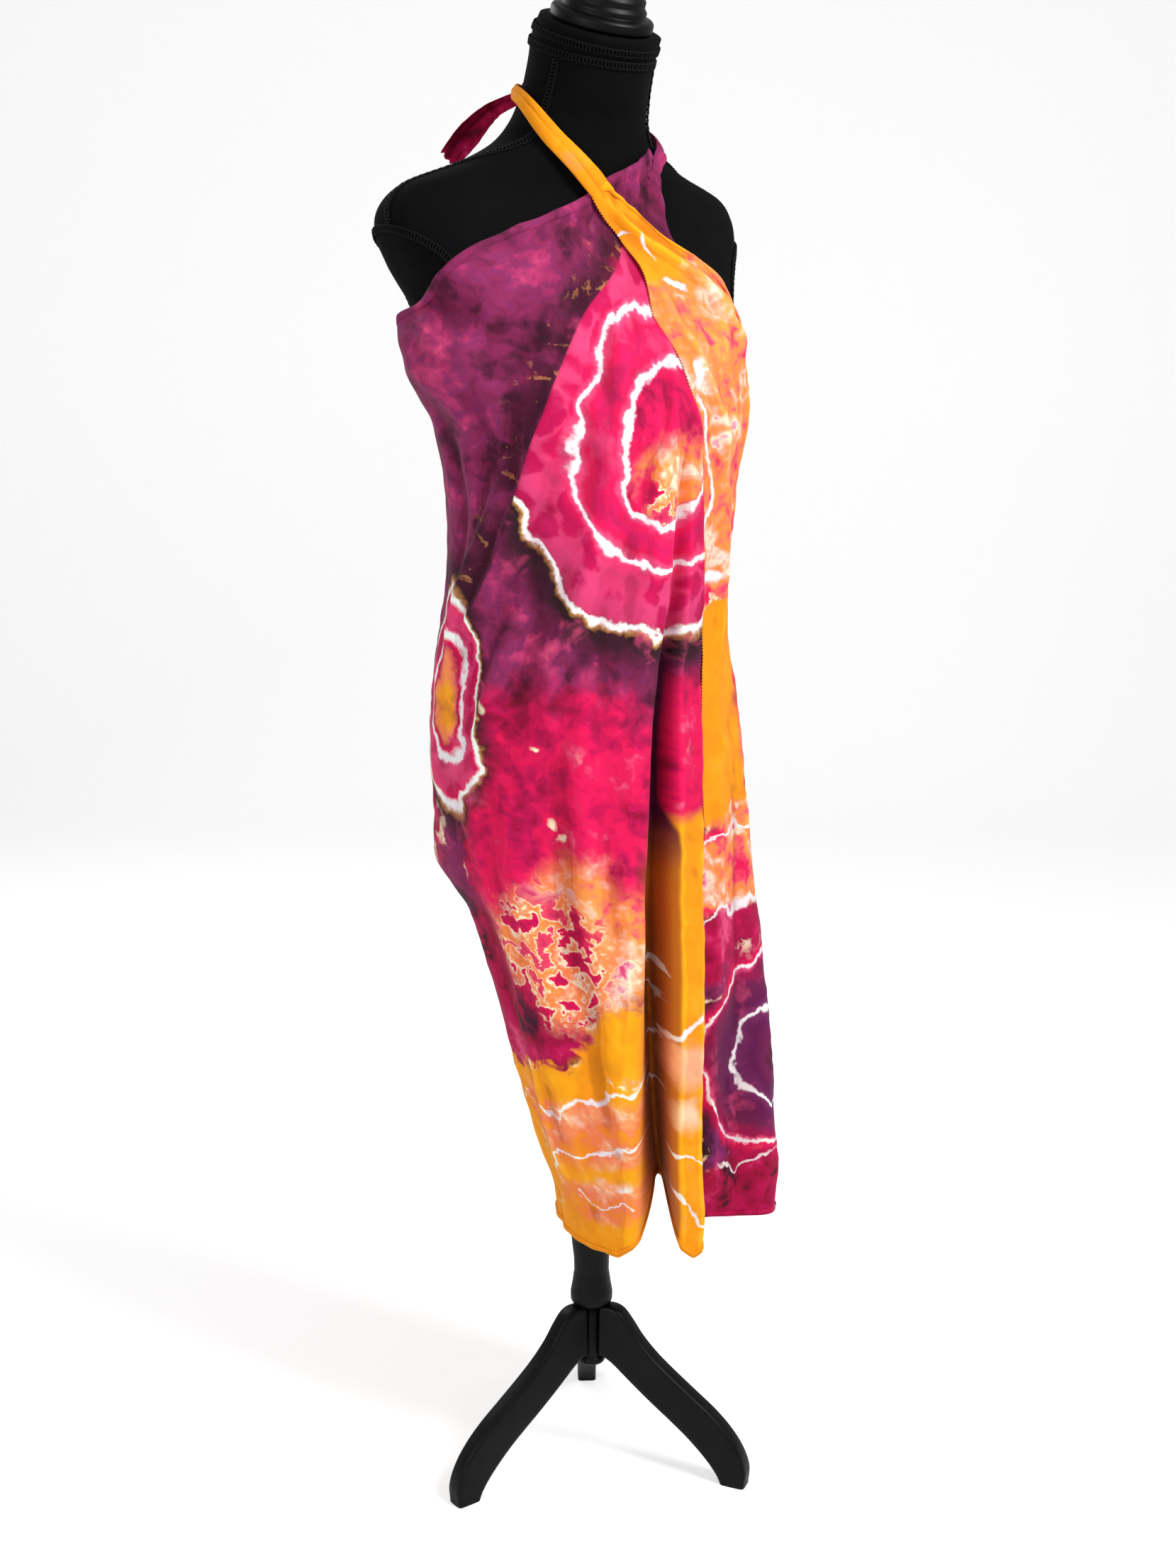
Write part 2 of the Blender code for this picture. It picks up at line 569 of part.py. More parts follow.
def under_azimuth(share, height):
    """Azimuth of an under-layer column; whole shares are the fold tracks."""
    tracks = (
        TRACK_SEAM, TRACK_VALLEY_LEFT, TRACK_VALLEY_RIGHT, TRACK_STEP_NEAR, TRACK_STEP_FAR, TRACK_FREE,
    )
    index = int(min(share, len(tracks) - 1.000001))
    low = track(height, tracks[index])
    high = track(height, tracks[index + 1])
    azimuth = low + (high - low) * (share - index)
    return azimuth + np.radians(SEAM_GAP) * (1.0 - min(share, 1.0))


def over_azimuth(share, height):
    free = np.radians(np.interp(height, OVER_FREE_HEIGHT, OVER_FREE_AZIMUTH))
    seam = np.radians(smooth(height, SIDE_SEAM_HEIGHT, SIDE_SEAM_AZIMUTH) - SEAM_GAP)
    return free + (seam - free) * share


def back_azimuth(share, height):
    seam = np.radians(smooth(height, SIDE_SEAM_HEIGHT, SIDE_SEAM_AZIMUTH) + SEAM_GAP)
    turn = track(height, TRACK_SEAM) + np.radians(360.0 - SEAM_GAP)
    return seam + (turn - seam) * share


def edge(azimuths, heights):
    return lambda azimuth: float(np.interp(np.degrees(azimuth), azimuths, heights))


def build_panels():
    columns = [0.0]
    for index, count in enumerate(UNDER_COLUMNS):
        columns += [index + (k + 1) / count for k in range(count)]
    under_hem = edge(UNDER_HEM_AZIMUTH, UNDER_HEM_HEIGHT)
    under_top = edge(UNDER_TOP_AZIMUTH, UNDER_TOP_HEIGHT)
    points = grid(columns, UNDER_ROWS, under_azimuth, under_hem, under_top, under_point)
    centre = np.array([0.0, 0.02, 0.0])
    wall_from_grid("sarong_under_front", points, grid_normals(points, centre), CLOTH, PLUM)
    columns = np.linspace(0.0, 1.0, OVER_COLUMNS + 1)
    over_hem = edge((0.0,), (OVER_HEM_HEIGHT,))
    over_top = edge(OVER_TOP_AZIMUTH, OVER_TOP_HEIGHT)
    points = grid(columns, OVER_ROWS, over_azimuth, over_hem, over_top, over_point)
    wall_from_grid("sarong_over_front", points, grid_normals(points, centre), CLOTH, ORANGE)
    columns = np.linspace(0.0, 1.0, BACK_COLUMNS + 1)
    back_hem = edge((0.0,), (BACK_HEM_HEIGHT,))
    back_top = edge(BACK_TOP_AZIMUTH, BACK_TOP_HEIGHT)
    points = grid(columns, BACK_ROWS, back_azimuth, back_hem, back_top, back_point)
    wall_from_grid("sarong_back", points, grid_normals(points, centre), CLOTH, PLUM)


def along_path(controls, count):
    """Evenly stepped values along rows of control values."""
    controls = np.asarray(controls, float)
    steps = np.arange(len(controls))
    at = np.linspace(0, len(controls) - 1, count)
    return np.stack([smooth(at, steps, controls[:, k]) for k in range(controls.shape[1])], axis=-1)


def folded_band(width):
    """Middle line of a band folded in three, as distance across and out."""
    turn = STRAP_PITCH / 2
    half = width / 2
    line = [(-half, -STRAP_PITCH), (0.0, -STRAP_PITCH)]
    for step in range(4):
        angle = -np.pi / 2 + np.pi * step / 3
        line.append((half - turn + turn * np.cos(angle), -turn + turn * np.sin(angle)))
    line.append((0.0, 0.0))
    for step in range(4):
        angle = -np.pi / 2 + np.pi * step / 3
        line.append((-half + turn - turn * np.cos(angle), turn + turn * np.sin(angle)))
    line += [(0.0, STRAP_PITCH), (half, STRAP_PITCH)]
    return np.array(line)


def band_ring(width, wall):
    """Closed outline of the folded band: one side out, the other side back."""
    line = folded_band(width)
    direction = np.gradient(line, axis=0)
    direction /= np.linalg.norm(direction, axis=1, keepdims=True)
    normal = np.stack([-direction[:, 1], direction[:, 0]], axis=1)
    return np.vstack([line + normal * wall / 2, (line - normal * wall / 2)[::-1]])


def build_strap(name, controls, width, colour):
    path = along_path(controls, STRAP_STATIONS)
    azimuth = np.radians(path[:, 0])
    points = form_point(azimuth, path[:, 1], path[:, 2])
    around = form_point(azimuth + SURFACE_STEP, path[:, 1], path[:, 2]) - points
    upward = form_point(azimuth, path[:, 1] + SURFACE_STEP, path[:, 2]) - points
    out = np.cross(around, upward)
    out /= np.linalg.norm(out, axis=1, keepdims=True)
    direction = np.gradient(points, axis=0)
    across = np.cross(out, direction)
    across /= np.linalg.norm(across, axis=1, keepdims=True)
    out = np.cross(direction, across)
    out /= np.linalg.norm(out, axis=1, keepdims=True)
    ring = band_ring(width, STRAP_WALL)
    aside = across[:, None, :] * ring[None, :, :1]
    rings = points[:, None, :] + aside + out[:, None, :] * ring[None, :, 1:]
    tube(name, rings, colour, 0.75, False)


def build_knot():
    middle = form_point(np.radians(KNOT_AZIMUTH), KNOT_HEIGHT, KNOT_CLEAR)
    turn = np.arange(KNOT_STATIONS) * 2 * np.pi / KNOT_STATIONS
    line = np.stack(
        [
            np.sin(turn) + 2 * np.sin(2 * turn),
            -1.1 * np.sin(3 * turn),
            np.cos(turn) - 2 * np.cos(2 * turn),
        ],
        axis=1,
    )
    line = middle + line * KNOT_SCALE
    forward = np.roll(line, -1, axis=0) - np.roll(line, 1, axis=0)
    forward /= np.linalg.norm(forward, axis=1, keepdims=True)
    aside = np.cross(forward, np.array([0.0, 1.0, 0.0]))
    aside /= np.linalg.norm(aside, axis=1, keepdims=True)
    out = np.cross(aside, forward)
    rings = []
    for k in range(KNOT_SIDES):
        angle = 2 * np.pi * k / KNOT_SIDES
        rings.append(line + (aside * np.cos(angle) + out * np.sin(angle)) * KNOT_RADIUS)
    tube("sarong_knot", np.transpose(np.array(rings), (1, 0, 2)), MAGENTA, 0.75, True)


def build_tail(name, controls, colour):
    """A curled strip of single cloth."""
    path = along_path(controls, TAIL_STATIONS)
    line = path[:, :3]
    forward = np.gradient(line, axis=0)
    forward /= np.linalg.norm(forward, axis=1, keepdims=True)
    out = np.tile(np.array([0.0, 1.0, 0.0]), (len(line), 1))
    across = np.cross(out, forward)
    across /= np.linalg.norm(across, axis=1, keepdims=True)
    out = np.cross(forward, across)
    places = np.linspace(-1.0, 1.0, TAIL_ACROSS)
    wide = path[:, 3:4] / 2 * np.sin(places * TAIL_CURL) / np.sin(TAIL_CURL)
    deep = path[:, 4:5] * (1 - places**2)
    points = line[:, None, :] + across[:, None, :] * wide[:, :, None] + out[:, None, :] * deep[:, :, None]
    normals = np.cross(np.gradient(points, axis=0), np.gradient(points, axis=1))
    normals /= np.linalg.norm(normals, axis=-1, keepdims=True)
    wall_from_grid(name, points, normals, CLOTH, colour)


def main():
    for existing in list(bpy.data.objects):
        bpy.data.objects.remove(existing)
    build_form()
    build_stand()
    build_panels()
    build_strap("sarong_strap_over", STRAP_OVER, STRAP_OVER_WIDTH, ORANGE)
    build_strap("sarong_strap_under", STRAP_UNDER, STRAP_UNDER_WIDTH, PLUM)
    build_knot()
    build_tail("sarong_tail_right", TAIL_RIGHT, MAGENTA)
    build_tail("sarong_tail_left", TAIL_LEFT, ORANGE)


if __name__ == "__main__":
    main()
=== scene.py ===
"""Looks for a halter-tied sarong worn on a limbless dress form with a turned pole and three legs.

Metres, +Z up. The form faces -Y, so its right side is -X. Azimuth is measured about the vertical
from the front (-Y) towards +X. Every shape is worked out in the form's own frame, with the pole on
x = y = 0, and SHIFT carries it to the row frame. UNROLL turns radians of azimuth into metres on the
cloth map.
"""

import logging
from dataclasses import dataclass, field
from enum import Enum
from typing import Callable, Sequence

import bpy
import numpy as np
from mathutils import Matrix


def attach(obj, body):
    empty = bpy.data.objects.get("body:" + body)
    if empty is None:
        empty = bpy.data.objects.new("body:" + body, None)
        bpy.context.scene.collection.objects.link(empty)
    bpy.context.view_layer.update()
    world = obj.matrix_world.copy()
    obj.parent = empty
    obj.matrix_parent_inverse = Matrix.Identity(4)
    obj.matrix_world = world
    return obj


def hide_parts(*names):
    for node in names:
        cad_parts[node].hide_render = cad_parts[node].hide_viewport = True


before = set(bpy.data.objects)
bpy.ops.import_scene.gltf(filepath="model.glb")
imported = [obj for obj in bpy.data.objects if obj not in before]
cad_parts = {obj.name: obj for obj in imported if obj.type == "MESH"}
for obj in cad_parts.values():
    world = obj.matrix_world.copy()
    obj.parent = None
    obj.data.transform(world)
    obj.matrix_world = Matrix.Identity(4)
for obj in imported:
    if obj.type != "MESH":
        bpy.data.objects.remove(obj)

LOG = logging.getLogger("sarong")
SHIFT = np.array([0.0080, 0.0060, 0.0])
UNROLL = 0.15
CLOTH_WALL = 0.0008
TURNED_SIDES = 96
Colour = tuple[float, float, float]
Rows = Sequence[Sequence[float]]


def ease(value: np.ndarray) -> np.ndarray:
    """Soft step: 3t^2 - 2t^3 with t held between 0 and 1."""
    t = np.clip(value, 0.0, 1.0)
    return t * t * (3.0 - 2.0 * t)


def smooth(value: np.ndarray, knots: Sequence[float], values: Sequence[float]) -> np.ndarray:
    """Cubic Hermite interpolation with held ends.

    Args:
        value: places to read.
        knots: rising places of the known values.
        values: the known values.

    Returns:
        Interpolated values, in the shape of value.
    """
    knot = np.asarray(knots, float)
    known = np.asarray(values, float)
    held = np.clip(value, knot[0], knot[-1])
    index = np.clip(np.searchsorted(knot, held) - 1, 0, len(knot) - 2)
    span = knot[index + 1] - knot[index]
    t = (held - knot[index]) / span
    slope = np.gradient(known, knot)
    start = (2 * t**3 - 3 * t**2 + 1) * known[index] + (t**3 - 2 * t**2 + t) * span * slope[index]
    return start + (3 * t**2 - 2 * t**3) * known[index + 1] + (t**3 - t**2) * span * slope[index + 1]


def unit(vectors: np.ndarray) -> np.ndarray:
    """The vectors at length 1."""
    return vectors / np.maximum(np.linalg.norm(vectors, axis=-1, keepdims=True), 1e-12)


def run_along(line: np.ndarray) -> np.ndarray:
    """Distance from the start to each point of a line (n, 3)."""
    return np.concatenate([[0], np.cumsum(np.linalg.norm(np.diff(line, axis=0), axis=1))])


def on_cloth(azimuth: float, height: float, depth: float = 0.0) -> tuple[float, float, float]:
    """An azimuth in degrees and a height as a vector in metres on the cloth map."""
    return (np.radians(azimuth) * UNROLL, height, depth)


def along_path(rows: Rows, count: int) -> np.ndarray:
    """Evenly stepped values along rows of control values.

    Args:
        rows: control rows, all of one length.
        count: how many steps to return.

    Returns:
        Array of count rows.
    """
    table = np.asarray(rows, float)
    at = np.linspace(0, len(table) - 1, count)
    return np.stack([smooth(at, np.arange(len(table)), table[:, k]) for k in range(table.shape[1])], -1)


def ripples(u: np.ndarray, v: np.ndarray, seed: int, longest: float, shortest: float) -> np.ndarray:
    """Uneven soft waves: a sum of 14 plane sine waves of seeded direction, length and phase.

    Args:
        u, v: places on the cloth in metres.
        seed: seed of the wave table.
        longest, shortest: wave lengths in metres.

    Returns:
        Heights of about -1 to 1.
    """
    random = np.random.default_rng(seed)
    total = np.zeros_like(u)
    for _ in range(14):
        length = shortest * (longest / shortest) ** random.random()
        turn = random.random() * 2 * np.pi
        phase = random.random() * 2 * np.pi
        total += np.sin((u * np.cos(turn) + v * np.sin(turn)) * 2 * np.pi / length + phase)
    return total / 5.0


# Meshes


def grid_object(
    name: str,
    points: np.ndarray,
    finish: bpy.types.Material,
    maps: dict[str, np.ndarray] | None = None,
    wrap: tuple[bool, bool] = (False, False),
    caps: bool = False,
    rides: bool = True,
) -> bpy.types.Object:
    """Makes a smooth quad mesh from a grid of points and stands it in the row frame.

    Args:
        name: object name.
        points: array (n, m, 3) in the form's frame.
        finish: material.
        maps: UV maps by name, each (n, m, 2), or one longer on a wrapped side.
        wrap: whether the grid closes on itself along its first and second side.
        caps: whether the two open ends along the first side are closed by a face.
        rides: whether it is part of the object.

    Returns:
        The new object.
    """
    n, m = points.shape[:2]
    i, j = np.meshgrid(np.arange(n - (not wrap[0])), np.arange(m - (not wrap[1])), indexing="ij")
    corners = [(i, j), (i + 1, j), (i + 1, j + 1), (i, j + 1)]
    quads = np.stack([(a % n) * m + b % m for a, b in corners], -1).reshape(-1, 4)
    faces = quads.tolist()
    if caps:
        faces.append(list(range(m)))
        faces.append(list(range(n * m - 1, (n - 1) * m - 1, -1)))
    mesh = bpy.data.meshes.new(name)
    mesh.from_pydata((points.reshape(-1, 3) + SHIFT).tolist(), [], faces)
    mesh.polygons.foreach_set("use_smooth", np.ones(len(faces), bool))
    for title, values in (maps or {}).items():
        wide = values.shape[1]
        picked = [values[np.minimum(a, values.shape[0] - 1), np.minimum(b, wide - 1)] for a, b in corners]
        loops = np.stack(picked, 2).reshape(-1, 2)
        spare = np.zeros((len(mesh.loops) - len(loops), 2))
        layer = mesh.uv_layers.new(name=title)
        layer.data.foreach_set("uv", np.vstack([loops, spare]).astype(np.float32).ravel())
    mesh.materials.append(finish)
    if wrap[1] and (caps or wrap[0]) and volume(points) > 0:
        mesh.flip_normals()
    mesh.calc_loop_triangles()
    made = bpy.data.objects.new(name, mesh)
    bpy.context.scene.collection.objects.link(made)
    if rides:
        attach(made, "root")
    LOG.info("%s: %d triangles", name, len(mesh.loop_triangles))
    return made


def volume(points: np.ndarray) -> float:
    """Twice the volume inside closed rings of points: over 0 where ring and length turn left-handed."""
    middle = points.mean(axis=1)
    ahead = np.gradient(middle, axis=0)
    spokes = points - middle[:, None]
    areas = np.cross(spokes, np.roll(spokes, -1, 1)).sum(axis=1)
    return float((areas * ahead).sum())


def stand_in(piece: bpy.types.Object, node: str) -> None:
    """The piece stands for a CAD node, which is hidden."""
    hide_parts(node)


def thicken(piece: bpy.types.Object, wall: float) -> bpy.types.Object:
    """Gives a sheet its cloth thickness, half to each side."""
    shell = piece.modifiers.new("cloth", "SOLIDIFY")
    shell.thickness = wall
    shell.offset = 0.0
    return piece


def frames(line: np.ndarray, up: np.ndarray, closed: bool = False) -> tuple[np.ndarray, np.ndarray]:
    """Across and out directions along a line.

    Args:
        line: points (n, 3).
        up: rough outward direction at each point, (n, 3) or (3,).
        closed: whether the line joins its own start.

    Returns:
        Unit vectors across the line and out of the surface, each (n, 3).
    """
    ahead = np.roll(line, -1, 0) - np.roll(line, 1, 0) if closed else np.gradient(line, axis=0)
    ahead = unit(ahead)
    across = unit(np.cross(ahead, np.broadcast_to(up, line.shape)))
    return across, unit(np.cross(across, ahead))


def sweep(line: np.ndarray, up: np.ndarray, rings: np.ndarray, closed: bool = False) -> np.ndarray:
    """Carries closed outlines along a line.

    Args:
        line: points (n, 3).
        up: outward direction.
        rings: outlines (m, 2) or (n, m, 2) as distance across and out.
        closed: whether the line joins its own start.

    Returns:
        Grid of points (n, m, 3).
    """
    across, out = frames(line, up, closed)
    ring = np.broadcast_to(rings, (len(line), *rings.shape[-2:]))
    return line[:, None] + across[:, None] * ring[..., :1] + out[:, None] * ring[..., 1:]


def circle(radius: float, sides: int) -> np.ndarray:
    """Outline of a round cord."""
    turn = np.arange(sides) * 2 * np.pi / sides
    return np.stack([np.cos(turn), -np.sin(turn)], -1) * radius


def lathe(profile: Rows, centre: np.ndarray, axis: np.ndarray, sides: int) -> np.ndarray:
    """A turned surface: each radius and height row swept about the axis.

    Args:
        profile: radius and height rows from the bottom up.
        centre: foot of the axis.
        axis: unit vector along it.
        sides: how many steps round.

    Returns:
        Grid (rows, sides, 3).
    """
    table = np.asarray(profile, float)
    side = np.array([1.0, 0.0, 0.0])
    other = np.cross(axis, side)
    turn = np.arange(sides) * 2 * np.pi / sides
    spokes = side * np.cos(turn)[:, None] + other * np.sin(turn)[:, None]
    return centre + axis * table[:, None, 1:] + spokes * table[:, None, :1]


def rounded(profile: Rows, bevel: float = 0.0012, steps: int = 4) -> np.ndarray:
    """Rounds the corners of a turned profile with small quadratic curves.

    Args:
        profile: radius and height rows.
        bevel: reach of each rounding in metres.
        steps: points in each rounding.

    Returns:
        Denser rows.
    """
    table = np.asarray(profile, float)
    rows = [table[0]]
    for before, here, after in zip(table[:-2], table[1:-1], table[2:]):
        back, on = before - here, after - here
        near = here + back * min(0.45, bevel / max(np.linalg.norm(back), 1e-9))
        far = here + on * min(0.45, bevel / max(np.linalg.norm(on), 1e-9))
        for t in np.linspace(0, 1, steps):
            rows.append((1 - t) ** 2 * near + 2 * t * (1 - t) * here + t**2 * far)
    rows.append(table[-1])
    return np.array(rows)


def turned(
    name: str, profile: Rows, foot: np.ndarray, axis: np.ndarray, finish: bpy.types.Material
) -> bpy.types.Object:
    """Makes a closed turned piece with rounded corners.

    Args:
        name: object name.
        profile: radius and height rows from the bottom up.
        foot: foot of the axis.
        axis: unit vector along it.
        finish: material.

    Returns:
        The piece.
    """
    points = lathe(rounded(profile), foot, axis, TURNED_SIDES)
    return grid_object(name, points, finish, wrap=(False, True), caps=True)


# Shader building


class Graph:
    """Short calls for building one shader node tree."""

    def __init__(self, tree: bpy.types.NodeTree) -> None:
        """Starts on an emptied tree."""
        self.tree = tree

    def node(self, kind: str, values: dict | None = None, **settings: object) -> bpy.types.Node:
        """Adds a node, its settings, and its socket values or links.

        Args:
            kind: Blender node type.
            values: socket name or number to a value or an output socket.
            settings: node properties.

        Returns:
            The node.
        """
        made = self.tree.nodes.new(kind)
        for key, value in settings.items():
            setattr(made, key, value)
        for key, value in (values or {}).items():
            if isinstance(value, bpy.types.NodeSocket):
                self.tree.links.new(value, made.inputs[key])
            else:
                made.inputs[key].default_value = value
        return made

    def math(self, operation: str, *terms: object) -> bpy.types.NodeSocket:
        """A Math node's output."""
        return self.node("ShaderNodeMath", dict(enumerate(terms)), operation=operation).outputs[0]

    def vector(self, operation: str, *terms: object) -> bpy.types.NodeSocket:
        """A Vector Math node's output, its Value for a length."""
        made = self.node("ShaderNodeVectorMath", dict(enumerate(terms)), operation=operation)
        return made.outputs["Value" if operation == "LENGTH" else "Vector"]

    def split(self, vector: bpy.types.NodeSocket) -> tuple[bpy.types.NodeSocket, bpy.types.NodeSocket]:
        """The X and Y of a vector."""
        made = self.node("ShaderNodeSeparateXYZ", {0: vector})
        return made.outputs[0], made.outputs[1]

    def noise(
        self, place: bpy.types.NodeSocket, scale: float, detail: float = 3.0, distortion: float = 0.0
    ) -> bpy.types.Node:
        """A noise texture: its outputs are 0, the height, and 1, three heights as a colour."""
        values = {"Vector": place, "Scale": scale, "Detail": detail, "Distortion": distortion}
        return self.node("ShaderNodeTexNoise", values)

    def ramp(self, height: bpy.types.NodeSocket, stops: Sequence[tuple]) -> bpy.types.Node:
        """A colour ramp.

        Args:
            height: what it reads.
            stops: place, colour and, if given, alpha of each stop.

        Returns:
            The node; output 0 is the colour and 1 the alpha.
        """
        made = self.node("ShaderNodeValToRGB", {0: height})
        elements = made.color_ramp.elements
        while len(elements) < len(stops):
            elements.new(0.5)
        for element, (place, colour, *alpha) in zip(elements, stops):
            element.position = place
            element.color = (*colour, alpha[0] if alpha else 1.0)
        return made

    def mix(self, base: object, over: object, share: object) -> bpy.types.NodeSocket:
        """Mixes two colours by a share."""
        made = self.node("ShaderNodeMix", data_type="RGBA")
        for socket, value in ((made.inputs[0], share), (made.inputs[6], base), (made.inputs[7], over)):
            if isinstance(value, bpy.types.NodeSocket):
                self.tree.links.new(value, socket)
            elif socket.type == "RGBA":
                socket.default_value = (*value, 1.0)
            else:
                socket.default_value = value
        return made.outputs[2]

    def span(self, value: object, low: float, high: float) -> bpy.types.NodeSocket:
        """0 below low rising smoothly to 1 at high; the other way round if low is over high."""
        values = {"Value": value, "From Min": min(low, high), "From Max": max(low, high)}
        values.update({"To Min": float(low > high), "To Max": float(low <= high)})
        made = self.node("ShaderNodeMapRange", values, interpolation_type="SMOOTHSTEP")
        return made.outputs[0]

    def place(self, name: str) -> bpy.types.NodeSocket:
        """The named UV map as a vector."""
        return self.node("ShaderNodeUVMap", uv_map=name).outputs[0]

    def effect(self, group: bpy.types.NodeTree, values: dict) -> bpy.types.Node:
        """Places a node group with its own values."""
        made = self.node("ShaderNodeGroup", node_tree=group)
        for key, value in values.items():
            if isinstance(value, bpy.types.NodeSocket):
                self.tree.links.new(value, made.inputs[key])
            elif made.inputs[key].type == "RGBA":
                made.inputs[key].default_value = (*value, 1.0)
            else:
                made.inputs[key].default_value = value
        return made


def effect_group(
    name: str, takes: dict[str, str], gives: dict[str, str]
) -> tuple[bpy.types.NodeTree, Graph, bpy.types.Node, bpy.types.Node]:
    """Starts a shader node group with named sockets.

    Args:
        name: group name.
        takes: input names to socket kinds (Float, Vector or Color).
        gives: output names to socket kinds.

    Returns:
        The group, its graph, its input node and its output node.
    """
    tree = bpy.data.node_groups.new(name, "ShaderNodeTree")
    for way, sockets in (("INPUT", takes), ("OUTPUT", gives)):
        for title, kind in sockets.items():
            tree.interface.new_socket(title, in_out=way, socket_type="NodeSocket" + kind)
    graph = Graph(tree)
    return tree, graph, graph.node("NodeGroupInput"), graph.node("NodeGroupOutput")


def warp_group() -> bpy.types.NodeTree:
    """Bends a place on the cloth as dye creeps: three sizes of noise added to it."""
    takes = {"Place": "Vector", "Amount": "Float"}
    tree, g, enter, leave = effect_group("dye_creep", takes, {"Place": "Vector"})
    place = enter.outputs["Place"]
    total = place
    for scale, reach, detail in ((9.0, 0.058, 2.0), (36.0, 0.022, 3.0), (150.0, 0.0064, 4.0)):
        bend = g.vector("SUBTRACT", g.noise(place, scale, detail).outputs[1], (0.5, 0.5, 0.5))
        amount = g.math("MULTIPLY", enter.outputs["Amount"], reach)
        scaled = g.node("ShaderNodeVectorMath", {0: bend, "Scale": amount}, operation="SCALE").outputs[0]
        total = g.vector("ADD", total, scaled)
    g.tree.links.new(total, leave.inputs["Place"])
    return tree


def pour_group() -> bpy.types.NodeTree:
    """One pour of dye: a ragged oval over the colour below it, with bare cloth left at its edge."""
    takes = {"Base": "Color", "Place": "Vector", "Centre": "Vector", "Reach": "Vector"}
    takes.update({"Soft": "Float", "Dye": "Color", "Bare": "Color", "Gap": "Float"})
    tree, g, enter, leave = effect_group("dye_pour", takes, {"Colour": "Color"})
    off = g.vector("SUBTRACT", enter.outputs["Place"], enter.outputs["Centre"])
    away = g.vector("DIVIDE", off, enter.outputs["Reach"])
    rough = g.noise(enter.outputs["Place"], 62.0, 4.0, 0.4).outputs[0]
    ragged = g.math("MULTIPLY", g.math("SUBTRACT", rough, 0.5), 0.42)
    far = g.math("ADD", g.vector("LENGTH", away), ragged)
    low = g.math("SUBTRACT", 1.0, enter.outputs["Soft"])
    high = g.math("ADD", 1.0, enter.outputs["Soft"])
    edge = g.node(
        "ShaderNodeMapRange",
        {"Value": far, "From Min": low, "From Max": high, "To Min": 1.0, "To Max": 0.0},
        interpolation_type="SMOOTHSTEP",
    ).outputs[0]
    dyed = g.mix(enter.outputs["Base"], enter.outputs["Dye"], edge)
    middle = g.span(g.math("ABSOLUTE", g.math("SUBTRACT", edge, 0.5)), 0.40, 0.10)
    bare = g.math("MULTIPLY", middle, enter.outputs["Gap"])
    g.tree.links.new(g.mix(dyed, enter.outputs["Bare"], bare), leave.inputs["Colour"])
    return tree


def ring_group() -> bpy.types.NodeTree:
    """Distance from a tied point in units of its reach, which differs above and below it."""
    takes = {"Place": "Vector", "Centre": "Vector", "Wide": "Float", "Up": "Float", "Down": "Float"}
    tree, g, enter, leave = effect_group("tied_ring", takes, {"Distance": "Float"})
    across, along = g.split(g.vector("SUBTRACT", enter.outputs["Place"], enter.outputs["Centre"]))
    above = g.math("GREATER_THAN", along, 0.0)
    reach = g.math(
        "ADD",
        g.math("MULTIPLY", above, enter.outputs["Up"]),
        g.math("MULTIPLY", g.math("SUBTRACT", 1.0, above), enter.outputs["Down"]),
    )
    wide = g.math("DIVIDE", across, enter.outputs["Wide"])
    tall = g.math("DIVIDE", along, reach)
    far = g.math("SQRT", g.math("ADD", g.math("MULTIPLY", wide, wide), g.math("MULTIPLY", tall, tall)))
    g.tree.links.new(far, leave.inputs["Distance"])
    return tree


def weave_group() -> bpy.types.NodeTree:
    """Height of a fine plain weave with slubs and soft handling wrinkles, from a map in metres."""
    takes = {"Place": "Vector", "Thread": "Float"}
    tree, g, enter, leave = effect_group("plain_weave", takes, {"Height": "Float"})
    across, along = g.split(enter.outputs["Place"])
    pitch = g.math("DIVIDE", 2 * np.pi, enter.outputs["Thread"])
    warp = g.math("SINE", g.math("MULTIPLY", across, pitch))
    weft = g.math("SINE", g.math("MULTIPLY", along, pitch))
    threads = g.math("MULTIPLY", warp, weft)
    slubs = g.noise(enter.outputs["Place"], 700.0, 2.0).outputs[0]
    wrinkle = g.noise(enter.outputs["Place"], 45.0, 4.0, 0.4).outputs[0]
    fine = g.math("ADD", g.math("MULTIPLY", threads, 0.10), g.math("MULTIPLY", slubs, 0.35))
    total = g.math("ADD", fine, g.math("MULTIPLY", wrinkle, 1.6))
    g.tree.links.new(total, leave.inputs["Height"])
    return tree


@dataclass
class Effects:
    """The node groups that several finishes share."""

    creep: bpy.types.NodeTree = field(default_factory=warp_group)
    pour: bpy.types.NodeTree = field(default_factory=pour_group)
    ring: bpy.types.NodeTree = field(default_factory=ring_group)
    weave: bpy.types.NodeTree = field(default_factory=weave_group)


def new_material(name: str, **sockets: object) -> tuple[bpy.types.Material, Graph, bpy.types.Node]:
    """A material with its Principled shader's plain values set.

    Args:
        name: material name.
        sockets: Principled socket names, with _ for a space, to values.

    Returns:
        The material, its graph and its Principled node.
    """
    made = bpy.data.materials.new(name)
    made.use_nodes = True
    shader = made.node_tree.nodes["Principled BSDF"]
    for key, value in sockets.items():
        shader.inputs[key.replace("_", " ")].default_value = value
    return made, Graph(made.node_tree), shader


